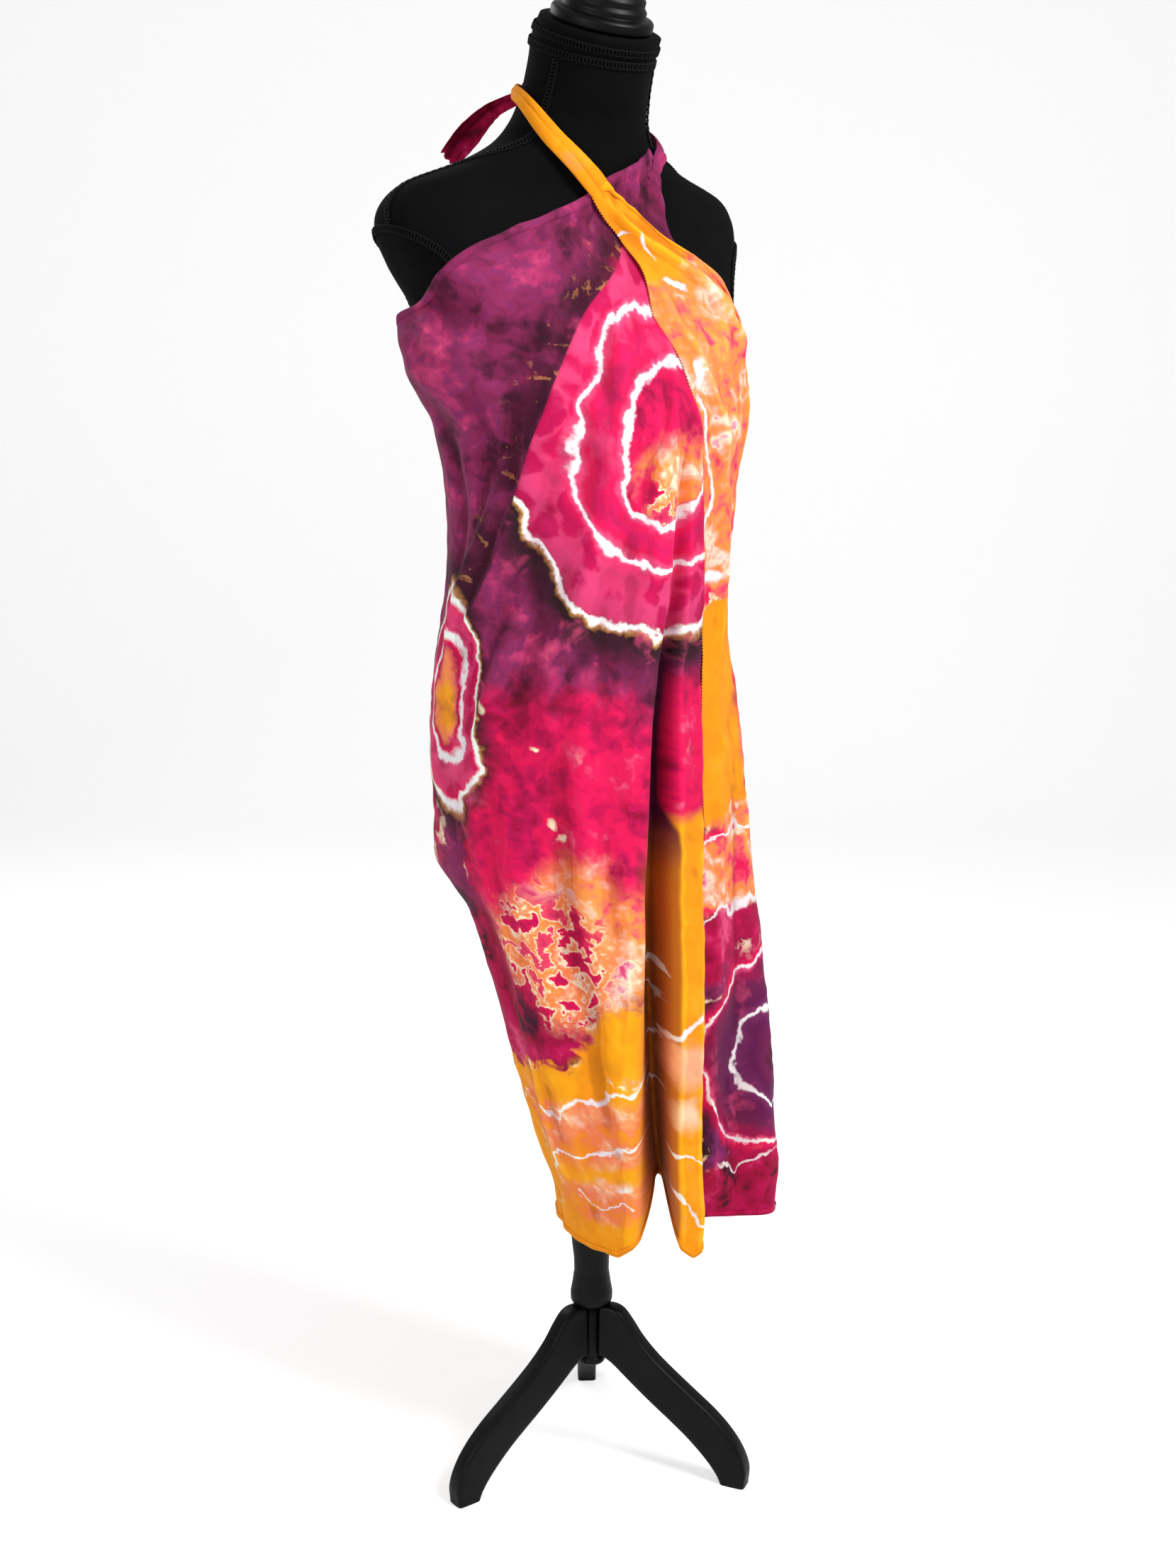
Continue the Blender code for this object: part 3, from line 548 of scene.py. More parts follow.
WHITE: Colour = (0.86, 0.80, 0.84)
CREAM: Colour = (0.92, 0.72, 0.52)
PEACH: Colour = (0.93, 0.40, 0.22)
CORAL: Colour = (0.88, 0.20, 0.09)
ORANGE: Colour = (0.93, 0.31, 0.004)
MUSTARD: Colour = (0.82, 0.28, 0.006)
PINK: Colour = (0.75, 0.005, 0.085)
ROSE: Colour = (0.74, 0.07, 0.20)
MAGENTA: Colour = (0.47, 0.002, 0.072)
CRIMSON: Colour = (0.30, 0.001, 0.035)
PLUM: Colour = (0.150, 0.012, 0.070)
VIOLET: Colour = (0.16, 0.020, 0.105)
WINE: Colour = (0.055, 0.003, 0.022)
SOOT: Colour = (0.022, 0.006, 0.010)
GOLD: Colour = (0.42, 0.17, 0.05)


class Palette(Enum):
    """Mottled dye colours, as stops over a noise height."""

    PLUM_CLOUD = (
        (0.22, GOLD), (0.25, SOOT), (0.30, WINE), (0.37, (0.095, 0.008, 0.038)),
        (0.44, (0.170, 0.012, 0.064)), (0.50, (0.235, 0.016, 0.082)), (0.56, (0.205, 0.018, 0.098)),
        (0.62, (0.330, 0.022, 0.108)), (0.70, (0.47, 0.035, 0.140)), (0.80, ROSE),
    )
    PINK_CLOUD = (
        (0.30, CRIMSON), (0.38, (0.42, 0.002, 0.065)), (0.47, (0.62, 0.003, 0.078)), (0.54, PINK),
        (0.62, (0.70, 0.008, 0.085)), (0.70, (0.76, 0.050, 0.150)), (0.80, (0.84, 0.180, 0.240)),
    )
    MAGENTA_CLOUD = (
        (0.32, WINE), (0.40, CRIMSON), (0.50, (0.40, 0.002, 0.060)), (0.60, (0.52, 0.004, 0.085)),
        (0.74, ROSE),
    )
    ORANGE_WASH = ((0.30, MUSTARD), (0.50, ORANGE), (0.66, (0.95, 0.36, 0.01)), (0.78, (0.90, 0.30, 0.08)))
    CORAL_WASH = (
        (0.30, (0.92, 0.28, 0.008)), (0.42, (0.90, 0.23, 0.03)), (0.50, CORAL), (0.58, (0.92, 0.30, 0.13)),
        (0.66, (0.92, 0.50, 0.38)), (0.74, WHITE),
    )
    MIXED = (
        (0.30, PINK), (0.38, (0.84, 0.07, 0.13)), (0.44, CORAL), (0.49, (0.90, 0.25, 0.04)),
        (0.54, (0.92, 0.30, 0.13)), (0.60, (0.90, 0.46, 0.34)), (0.640, CREAM),
        (0.670, (0.86, 0.42, 0.46)), (0.73, ROSE), (0.80, PINK),
    )
    MARBLE = (
        (0.34, (0.45, 0.002, 0.07)), (0.435, PINK), (0.450, CREAM), (0.464, CREAM), (0.478, PEACH),
        (0.515, CORAL), (0.545, (0.90, 0.22, 0.03)), (0.562, PEACH), (0.574, CREAM),
        (0.590, (0.80, 0.05, 0.12)), (0.74, MAGENTA),
    )
    NIGHT = (
        (0.34, SOOT), (0.41, (0.060, 0.004, 0.030)), (0.47, (0.13, 0.008, 0.075)),
        (0.58, (0.19, 0.015, 0.12)), (0.72, (0.33, 0.02, 0.13)),
    )


@dataclass(frozen=True)
class Pour:
    """One pour of dye on the sheet: its centre and reach as azimuth and height, and its palette."""

    azimuth: float
    height: float
    wide: float
    tall: float
    palette: Palette
    soft: float = 0.12

    def centre(self) -> tuple[float, float, float]:
        """Centre on the cloth map, in metres."""
        return on_cloth(self.azimuth, self.height)

    def reach(self) -> tuple[float, float, float]:
        """Half sizes on the cloth map, in metres."""
        return on_cloth(self.wide, self.tall, 1.0)


@dataclass(frozen=True)
class Medallion:
    """One tied circle of rings: centre, reach, and ramp stops over the distance divided by limit.

    A pleated one ends where the main fold tucks it under. One with blobs has round spots of two
    pinks between its outer rings.
    """

    azimuth: float
    height: float
    wide: float
    up: float
    down: float
    limit: float
    stops: tuple
    pleated: bool = False
    blobs: bool = True


@dataclass(frozen=True)
class Streak:
    """A pale resist line or a fleck: an oval ring or a filled oval in azimuth and height."""

    azimuth: float
    height: float
    wide: float
    tall: float
    colour: Colour = WHITE
    soft: float = 0.35


@dataclass(frozen=True)
class DyedRayon:
    """Soft matt plain-woven rayon, tie-dyed in pours, rings and pale resist lines.

    The dye's height over the cloth is a sum of three noises, soft clouds, blots and drops, by their
    shares. The relief map paints shade into the troughs, darkening the colour there, and paints a
    highlight on the ridges, lightening the colour there.
    """

    name: str
    ground: Palette
    pours: tuple[Pour, ...] = ()
    medallions: tuple[Medallion, ...] = ()
    lines: tuple[tuple[float, float, float, float, float], ...] = ()
    flecks: tuple[Streak, ...] = ()
    folds: bool = False
    roughness: float = 0.78
    thread: float = 0.0007
    noise_shares: tuple[float, float, float] = (0.90, 0.42, 0.17)
    noise_shift: float = -0.245
    bare_share: float = 0.85
    bare_below: float = 0.2
    # trough and ridge: colour factors of the painted shade in troughs and the painted highlight on ridges
    trough: Colour = (0.66, 0.55, 0.56)
    ridge: Colour = (1.18, 1.40, 1.22)
    blob_colours: tuple[Colour, Colour] = ((0.76, 0.06, 0.20), MAGENTA)

    def material(self, fx: Effects) -> bpy.types.Material:
        """Builds the finish.

        Args:
            fx: shared node groups.

        Returns:
            The material.
        """
        made, g, shader = new_material(
            self.name, Roughness=self.roughness, Sheen_Weight=0.06, Sheen_Roughness=0.4,
            Specular_IOR_Level=0.16,
        )
        place = g.place("cloth")
        crept = g.effect(fx.creep, {"Place": place, "Amount": 1.0}).outputs[0]
        cloud = g.noise(place, 17.0, 5.0, 0.35).outputs[0]
        blot = g.noise(g.vector("ADD", place, (3.1, 1.7, 0.0)), 75.0, 4.0, 0.5).outputs[0]
        drops = g.node(
            "ShaderNodeTexVoronoi", {"Vector": crept, "Scale": 46.0, "Smoothness": 0.35}, feature="SMOOTH_F1",
        ).outputs["Color"]
        drop = g.node("ShaderNodeSeparateColor", {0: drops}).outputs[0]
        cell = g.node(
            "ShaderNodeTexVoronoi", {"Vector": crept, "Scale": 40.0, "Smoothness": 0.25}, feature="SMOOTH_F1",
        ).outputs["Distance"]
        noises = zip((cloud, blot, drop), self.noise_shares)
        soft, medium, small = (g.math("MULTIPLY", noise, share) for noise, share in noises)
        height = g.math("ADD", g.math("ADD", g.math("ADD", soft, medium), small), self.noise_shift)
        patch = g.noise(g.vector("ADD", place, (7.3, 2.9, 0.0)), 34.0, 3.0, 0.6).outputs[0]
        gap = g.math("MULTIPLY", g.span(patch, 0.50, 0.62), self.bare_share)
        shades = {}

        def shade(palette: Palette) -> bpy.types.NodeSocket:
            """The palette's colours over the cloud of dye."""
            if palette not in shades:
                shades[palette] = g.ramp(height, palette.value).outputs[0]
            return shades[palette]

        colour = shade(self.ground)
        for pour in self.pours:
            values = {"Base": colour, "Place": crept, "Centre": pour.centre(), "Reach": pour.reach()}
            values.update({"Soft": pour.soft, "Dye": shade(pour.palette), "Bare": CREAM})
            values["Gap"] = gap if pour.soft < self.bare_below else 0.0
            colour = g.effect(fx.pour, values).outputs[0]
        # Fold dyes, with painted shade in the main crease's halo and in the deep fold's valley
        if self.folds:
            colour = self.fold_dyes_and_shade(g, colour, shade, crept)
        for row in self.lines:
            colour = self.resist_line(g, colour, crept, row)
        for fleck in self.flecks:
            values = {"Base": colour, "Place": crept, "Centre": on_cloth(fleck.azimuth, fleck.height)}
            values.update({"Reach": on_cloth(fleck.wide, fleck.tall, 1.0), "Soft": fleck.soft})
            colour = g.effect(fx.pour, {**values, "Dye": fleck.colour, "Gap": 0.0}).outputs[0]
        for tied in self.medallions:
            values = {"Place": crept, "Centre": on_cloth(tied.azimuth, tied.height)}
            values.update({"Wide": np.radians(tied.wide) * UNROLL, "Up": tied.up, "Down": tied.down})
            far = g.effect(fx.ring, values).outputs[0]
            rough = g.math("MULTIPLY", g.math("SUBTRACT", blot, 0.5), 0.06)
            at = g.math("DIVIDE", g.math("ADD", far, rough), tied.limit)
            rings = g.ramp(at, tied.stops)
            shaded = g.mix(rings.outputs[0], shade(Palette.PLUM_CLOUD), g.span(height, 0.47, 0.30))
            tone = g.mix(rings.outputs[0], shaded, 0.30)
            tone = g.mix(tone, ROSE, g.math("MULTIPLY", g.span(height, 0.56, 0.74), 0.45))
            blobs = g.mix(*self.blob_colours, g.span(cell, 0.62, 0.42))
            outer = g.math("MULTIPLY", g.span(at, 0.49, 0.53), g.span(at, 0.725, 0.705))
            tone = g.mix(tone, blobs, g.math("MULTIPLY", outer, 0.55 if tied.blobs else 0.0))
            keep = g.math("GREATER_THAN", self.paleness(g, rings.outputs[0]), 0.5)
            tone = g.mix(tone, rings.outputs[0], keep)
            shown = rings.outputs[1]
            if tied.pleated:
                _, beside = g.split(g.place("panel"))
                shown = g.math("MULTIPLY", shown, g.span(beside, -0.0030, -0.0012))
            colour = g.mix(colour, tone, shown)
        # Painted shade: colour darkened in the relief map's troughs, and painted highlight: colour lightened
        # on its ridges
        relief, _ = g.split(g.place("relief"))
        colour = g.mix(colour, g.vector("MULTIPLY", colour, self.trough), g.span(relief, -0.40, -1.3))
        colour = g.mix(colour, g.vector("MULTIPLY", colour, self.ridge), g.span(relief, 0.15, 1.3))
        g.tree.links.new(colour, shader.inputs["Base Color"])
        bumps = g.effect(fx.weave, {"Place": place, "Thread": self.thread}).outputs[0]
        bump = g.node("ShaderNodeBump", {"Height": bumps, "Strength": 0.35, "Distance": 0.0016})
        g.tree.links.new(bump.outputs[0], shader.inputs["Normal"])
        return made

    @staticmethod
    def paleness(g: Graph, colour: bpy.types.NodeSocket) -> bpy.types.NodeSocket:
        """The green share of a colour, which is high only in the undyed rings."""
        return g.node("ShaderNodeSeparateColor", {0: colour}).outputs[1]

    def resist_line(
        self, g: Graph, colour: bpy.types.NodeSocket, place: bpy.types.NodeSocket, row: tuple
    ) -> bpy.types.NodeSocket:
        """A pale wavering line near one height.

        Args:
            g: graph.
            colour: what lies below.
            place: crept place on the cloth.
            row: heights of the line 0.06 m to the left and to the right of its middle, azimuth of
                its middle, half its width and half its length in metres.

        Returns:
            The colour with the line over it.
        """
        left, right, azimuth, width, reach = row
        middle = np.radians(azimuth) * UNROLL
        across, along = g.split(place)
        slope = (right - left) / 0.12
        wave = g.noise(place, 22.0, 2.0).outputs[0]
        level = g.math("MULTIPLY_ADD", across, slope, (left + right) / 2 - slope * middle)
        waver = g.math("MULTIPLY", g.math("SUBTRACT", wave, 0.5), 0.05)
        off = g.math("SUBTRACT", along, g.math("ADD", level, waver))
        near = g.span(g.math("ABSOLUTE", off), width * 1.7, width * 0.5)
        beside = g.math("ABSOLUTE", g.math("SUBTRACT", across, middle))
        near = g.math("MULTIPLY", near, g.span(beside, reach, reach * 0.85))
        return g.mix(colour, WHITE, g.math("MULTIPLY", near, 0.92))

    def fold_dyes_and_shade(
        self, g: Graph, colour: bpy.types.NodeSocket, shade: Callable, crept: bpy.types.NodeSocket
    ) -> bpy.types.NodeSocket:
        """Dyes that follow the main crease, the deep fold and the front column, partly painted shade: the
        dark halo left of the main crease and the deep fold's valley are dye darkened as painted shade.

        The panel map gives the share between the fold tracks and the distance from the main crease.

        Args:
            g: graph.
            colour: what lies below.
            shade: gives a palette's colour.
            crept: crept place on the cloth.

        Returns:
            The colour with the fold's dyes over it.
        """
        share, beside = g.split(g.place("panel"))
        _, along = g.split(crept)
        cloud = g.noise(g.vector("ADD", crept, (2.2, 5.6, 0.0)), 26.0, 3.0, 0.3).outputs[0]
        spots = g.noise(g.vector("ADD", crept, (1.3, 4.1, 0.0)), 64.0, 3.0, 0.3).outputs[0]
        # Dark halo left of the main crease: burnt dye with gold spots, deepened as painted shade of the
        # fold's shadow side
        fold_halo_dye_and_shade = g.math("MULTIPLY", g.span(beside, -0.052, -0.010), g.span(beside, 0.0015, -0.0015))
        fold_halo_dye_and_shade = g.math("MULTIPLY", fold_halo_dye_and_shade, g.span(cloud, 0.30, 0.52))
        gold = g.math("MULTIPLY", g.span(spots, 0.60, 0.66), g.span(cloud, 0.42, 0.52))
        burnt_dye_and_shade = g.mix(g.mix(WINE, SOOT, 0.4), GOLD, gold)
        colour = g.mix(colour, burnt_dye_and_shade, g.math("MULTIPLY", fold_halo_dye_and_shade, 0.85))
        column = g.span(share, 1.72, 1.95)
        edge = g.math("MULTIPLY_ADD", g.span(along, 0.76, 0.70), 0.34, 1.86)
        inside = g.span(g.math("SUBTRACT", share, edge), 0.06, -0.06)
        valley = g.math("MULTIPLY", g.span(share, 0.90, 1.15), inside)
        low = g.span(along, 0.745, 0.725)
        # The deep fold's valley: wine dye above and orange dye below, darkened as painted shade of the recess
        under = g.mix(WINE, shade(Palette.PLUM_CLOUD), 0.25)
        deep = g.mix(under, (0.50, 0.140, 0.012), g.span(along, 0.74, 0.67))
        upper = g.span(along, 0.905, 0.885)
        pink = g.math("MULTIPLY", column, g.span(along, 0.90, 0.86))
        colour = g.mix(colour, shade(Palette.PINK_CLOUD), pink)
        colour = g.mix(colour, shade(Palette.ORANGE_WASH), g.math("MULTIPLY", column, low))
        return g.mix(colour, deep, g.math("MULTIPLY", valley, upper))


# Shapes


@dataclass(frozen=True)
class FormShape:
    """The dress form's level sections: half width, front and back reach and power at each height."""

    height: tuple[float, ...] = (
        0.690, 0.705, 0.760, 0.820, 0.900, 0.980, 1.060, 1.120, 1.180, 1.220, 1.260,
        1.290, 1.310, 1.330, 1.350, 1.370, 1.390, 1.410, 1.440, 1.462, 1.476,
    )
    middle: tuple[float, ...] = (-0.008,) * 13 + (-0.007, -0.006, -0.005) + (-0.004,) * 5
    half_width: tuple[float, ...] = (
        0.130, 0.143, 0.150, 0.146, 0.127, 0.110, 0.119, 0.133, 0.149, 0.161, 0.180,
        0.192, 0.191, 0.174, 0.124, 0.087, 0.070, 0.0625, 0.0585, 0.058, 0.057,
    )
    front: tuple[float, ...] = (
        -0.080, -0.091, -0.097, -0.099, -0.097, -0.094, -0.106, -0.123, -0.112, -0.084, -0.052,
        -0.030, -0.023, -0.021, -0.025, -0.031, -0.039, -0.050, -0.0615, -0.0690, -0.0790,
    )
    back: tuple[float, ...] = (
        0.101, 0.112, 0.117, 0.113, 0.090, 0.076, 0.088, 0.100, 0.114, 0.124, 0.127,
        0.119, 0.109, 0.098, 0.090, 0.084, 0.077, 0.068, 0.0555, 0.0470, 0.0340,
    )
    power: tuple[float, ...] = (2.2,) * 8 + (2.4, 2.7, 3.0, 3.0, 2.8, 2.5, 2.2) + (2.0,) * 6
    neck_tilt: float = np.radians(22.0)
    tilt_from: float = 1.380
    hip: float = 0.760
    firmness: float = 30.0

    def section(self, height: np.ndarray) -> tuple[np.ndarray, ...]:
        """Centre x, half width, centre y, half depth and power at each height."""
        front = smooth(height, self.height, self.front)
        back = smooth(height, self.height, self.back)
        wide = smooth(height, self.height, self.half_width)
        power = np.interp(height, self.height, self.power)
        return smooth(height, self.height, self.middle), wide, (front + back) / 2, (back - front) / 2, power

    def point(self, azimuth: np.ndarray, height: np.ndarray, clear: np.ndarray) -> np.ndarray:
        """Points on the surface moved out by clear: |x/a|^p + |y/b|^p = 1, the neck's top tilted."""
        centre, wide, middle, deep, power = self.section(height)
        across, along = np.sin(azimuth), -np.cos(azimuth)
        reach = np.abs(across / (wide + clear)) ** power + np.abs(along / (deep + clear)) ** power
        radius = reach ** (-1.0 / power)
        tilt = np.tan(self.neck_tilt) * ease((height - self.tilt_from) / (self.height[-1] - self.tilt_from))
        up = height + tilt * radius * along
        return np.stack([centre + radius * across, middle + radius * along, up], -1)

    def facing(self, azimuth: np.ndarray, height: np.ndarray, clear: np.ndarray) -> np.ndarray:
        """Outward unit vectors of the surface."""
        here = self.point(azimuth, height, clear)
        around = self.point(azimuth + 0.001, height, clear) - here
        return unit(np.cross(around, self.point(azimuth, height + 0.001, clear) - here))

    def pushed(self, x: np.ndarray, y: np.ndarray, height: np.ndarray, clear: np.ndarray) -> tuple:
        """Moves a plan point softly out of the section grown by clear."""
        centre, wide, middle, deep, power = self.section(np.maximum(height, self.hip))
        across = np.abs((x - centre) / (wide + clear)) ** power
        along = np.abs((y - middle) / (deep + clear)) ** power
        ratio = np.maximum((across + along) ** (1.0 / power), 1e-4)
        scale = (1.0 + ratio**-self.firmness) ** (1.0 / self.firmness)
        scale = 1.0 + (scale - 1.0) * ease((height - self.height[0] + 0.06) / 0.06)
        return centre + (x - centre) * scale, middle + (y - middle) * scale


@dataclass(frozen=True)
class Crease:
    """A soft ridge, or a trough with a negative rise, down a line of azimuth and height rows."""

    line: Rows
    rise: float
    left: float
    right: float
    fade: float = 0.22

    def measure(self, u: np.ndarray, v: np.ndarray) -> tuple[np.ndarray, np.ndarray, np.ndarray]:
        """Distance from the line, share of its length, and side, positive on its right.

        Args:
            u, v: places on the cloth in metres.

        Returns:
            Three arrays shaped as u.
        """
        rows = along_path(self.line, 4 * len(self.line))
        rows[:, 0] = np.radians(rows[:, 0]) * UNROLL
        steps = np.diff(rows, axis=0)
        lengths = np.hypot(steps[:, 0], steps[:, 1])
        starts = np.concatenate([[0.0], np.cumsum(lengths)])
        nearest = np.full(u.shape, np.inf)
        share, side = np.zeros_like(u), np.zeros_like(u)
        for row, step, length, start in zip(rows[:-1], steps, lengths, starts):
            off_u, off_v = u - row[0], v - row[1]
            t = np.clip((off_u * step[0] + off_v * step[1]) / length**2, 0, 1)
            away = np.hypot(off_u - t * step[0], off_v - t * step[1])
            closer = away < nearest
            nearest = np.where(closer, away, nearest)
            share = np.where(closer, (start + t * length) / starts[-1], share)
            side = np.where(closer, off_v * step[0] - off_u * step[1], side)
        return nearest, share, side

    def height_at(self, u: np.ndarray, v: np.ndarray) -> np.ndarray:
        """Rise at each place: a bell across the line, wider on one side, eased off at both ends."""
        away, share, side = self.measure(u, v)
        width = np.where(side > 0, self.right, self.left)
        height = self.rise * ease(share / self.fade) * ease((1 - share) / self.fade)
        return height * np.exp(-((away / width) ** 2))


MAIN_FOLD = Crease(
    ((8, 1.272), (-8.1, 1.246), (-21.3, 1.218), (-30.8, 1.186), (-41.3, 1.141), (-50, 1.100), (-58.6, 1.035),
     (-71.5, 0.959), (-84, 0.900)), 0.0110, 0.0060, 0.030, 0.10,
)
# Seeds of the uneven slack between the creases
FRONT_SEED = 5
SIDE_SEED = 23
BACK_SEED = 41
FRONT_CREASES: tuple[Crease, ...] = (
    MAIN_FOLD,
    Crease(((-60, 1.085), (-67.6, 1.046), (-77, 0.990), (-87, 0.935), (-96, 0.890)), 0.0078, 0.0060, 0.018),
    Crease(((-50, 0.975), (-59.7, 0.921), (-66, 0.875), (-71.5, 0.830), (-76, 0.770)), 0.0070, 0.0060, 0.020),
    Crease(((-24, 1.040), (-34, 0.960), (-41, 0.890), (-47, 0.790)), 0.0059, 0.009, 0.022),
    Crease(((9, 1.200), (8.3, 1.154), (2, 1.105), (-5.6, 1.063), (-10, 1.020)), -0.0053, 0.008, 0.010),
    Crease(((14, 1.220), (12, 1.160), (5, 1.110), (0, 1.073), (-2, 1.000)), 0.0056, 0.007, 0.009),
    Crease(((17, 1.180), (17, 1.120), (14, 1.060), (10, 1.000), (8, 0.930)), -0.0047, 0.007, 0.007),
    Crease(((-2, 1.230), (-14, 1.170), (-22, 1.110), (-27, 1.050), (-30, 0.990)), -0.0037, 0.012, 0.016),
    Crease(((-12, 1.180), (-20, 1.120), (-26, 1.060)), 0.0028, 0.010, 0.014),
    Crease(((-6, 1.292), (-25, 1.262), (-48, 1.215), (-70, 1.150), (-84, 1.080)), -0.0040, 0.012, 0.018),
    Crease(((-30, 1.282), (-50, 1.235), (-68, 1.180), (-80, 1.120)), 0.0034, 0.010, 0.014),
    Crease(((-40, 1.230), (-52, 1.170), (-60, 1.100), (-64, 1.040)), -0.0047, 0.014, 0.012),
    Crease(((-92, 1.196), (-84, 1.172), (-76, 1.162), (-66, 1.165)), -0.0031, 0.006, 0.008),
    Crease(((-96, 1.180), (-88, 1.150), (-80, 1.120), (-74, 1.080)), 0.0037, 0.007, 0.010),
    Crease(((-98, 1.150), (-92, 1.090), (-88, 1.020), (-88, 0.950)), -0.0047, 0.010, 0.012),
    Crease(((-82, 1.110), (-80, 1.060), (-82, 1.000), (-88, 0.930)), 0.0040, 0.010, 0.012),
    Crease(((-60, 0.790), (-63, 0.700), (-66, 0.600), (-70, 0.470), (-76, 0.330)), 0.0062, 0.018, 0.026, 0.3),
    Crease(
        ((-40, 0.860), (-44, 0.760), (-48, 0.640), (-52, 0.500), (-56, 0.350)), -0.0078, 0.020, 0.016, 0.3,
    ),
    Crease(((-26, 0.900), (-32, 0.800), (-38, 0.700), (-44, 0.560)), 0.0053, 0.014, 0.018, 0.3),
    Crease(
        ((-88, 0.860), (-90, 0.740), (-92, 0.600), (-97, 0.420), (-103, 0.300)), -0.0068, 0.020, 0.018, 0.3,
    ),
    Crease(((-76, 0.560), (-82, 0.450), (-88, 0.310)), 0.0047, 0.014, 0.018, 0.3),
    Crease(((-96, 1.250), (-99, 1.212), (-102, 1.174)), 0.0085, 0.010, 0.013, 0.5),
    Crease(((46, 1.352), (48, 1.332), (49, 1.300)), 0.0025, 0.004, 0.005),
    Crease(((42, 1.345), (38, 1.322), (35, 1.290)), -0.0025, 0.004, 0.005),
    Crease(((36, 1.340), (28, 1.315), (20, 1.290)), 0.0022, 0.005, 0.006),
)
SIDE_CREASES: tuple[Crease, ...] = (
    Crease(((-4, 1.322), (14, 1.298), (34, 1.258), (52, 1.208), (68, 1.150)), 0.0062, 0.006, 0.009, 0.2),
    Crease(((-8, 1.318), (6, 1.292), (22, 1.250), (38, 1.190), (50, 1.120)), -0.0053, 0.005, 0.006, 0.2),
    Crease(((-8, 1.314), (4, 1.278), (18, 1.222), (30, 1.150), (40, 1.060)), 0.0053, 0.005, 0.008, 0.2),
    Crease(((10, 1.310), (34, 1.276), (52, 1.226), (70, 1.190)), -0.0034, 0.004, 0.005, 0.2),
    Crease(((38, 1.200), (50, 1.130), (58, 1.040), (60, 0.930)), -0.0047, 0.009, 0.010),
    Crease(((33, 1.140), (40, 1.060), (44, 0.960), (44, 0.860)), 0.0047, 0.009, 0.010),
    Crease(((70, 1.180), (68, 1.110), (72, 1.020), (76, 0.930)), 0.0050, 0.011, 0.014),
    Crease(((60, 1.000), (62, 0.860), (58, 0.700), (52, 0.520), (44, 0.360)), 0.0081, 0.018, 0.022, 0.3),
    Crease(((48, 0.800), (44, 0.660), (34, 0.520), (22, 0.400)), -0.0078, 0.014, 0.016, 0.3),
    Crease(((80, 0.980), (82, 0.820), (84, 0.640), (86, 0.460), (84, 0.300)), -0.0093, 0.020, 0.018, 0.3),
    Crease(((96, 1.000), (100, 0.820), (104, 0.600), (106, 0.400), (106, 0.295)), 0.0078, 0.018, 0.020, 0.3),
)
BACK_CREASES: tuple[Crease, ...] = (
    Crease(((106, 1.150), (114, 1.040), (120, 0.900), (122, 0.700), (124, 0.480)), 0.0062, 0.014, 0.016),
    Crease(((118, 1.172), (128, 1.080), (136, 0.930), (140, 0.640), (142, 0.300)), -0.0093, 0.018, 0.014),
    Crease(((150, 1.160), (152, 1.000), (150, 0.780), (154, 0.540), (154, 0.300)), 0.0109, 0.016, 0.020),
    Crease(((166, 1.150), (170, 1.060), (168, 0.860), (166, 0.640)), -0.0062, 0.012, 0.014),
    Crease(((186, 1.160), (184, 0.960), (188, 0.700), (186, 0.480), (190, 0.300)), 0.0115, 0.018, 0.016),
    Crease(((204, 1.160), (206, 1.020), (202, 0.840), (206, 0.560), (208, 0.310)), -0.0093, 0.014, 0.018),
    Crease(((222, 1.170), (220, 1.080), (224, 0.900), (222, 0.660), (226, 0.380)), 0.0096, 0.016, 0.018),
    Crease(((238, 1.180), (236, 1.060), (238, 0.900), (240, 0.740)), -0.0056, 0.010, 0.014),
    Crease(((140, 1.170), (156, 1.140), (176, 1.128), (200, 1.140), (220, 1.168)), -0.0047, 0.010, 0.014),
    Crease(((130, 1.120), (150, 1.070), (178, 1.050), (206, 1.072)), 0.0037, 0.012, 0.014),
)


@dataclass(frozen=True)
class Panel:
    """A panel's points, its maps and its outward unit vectors."""

    points: np.ndarray
    maps: dict[str, np.ndarray]
    facing: np.ndarray


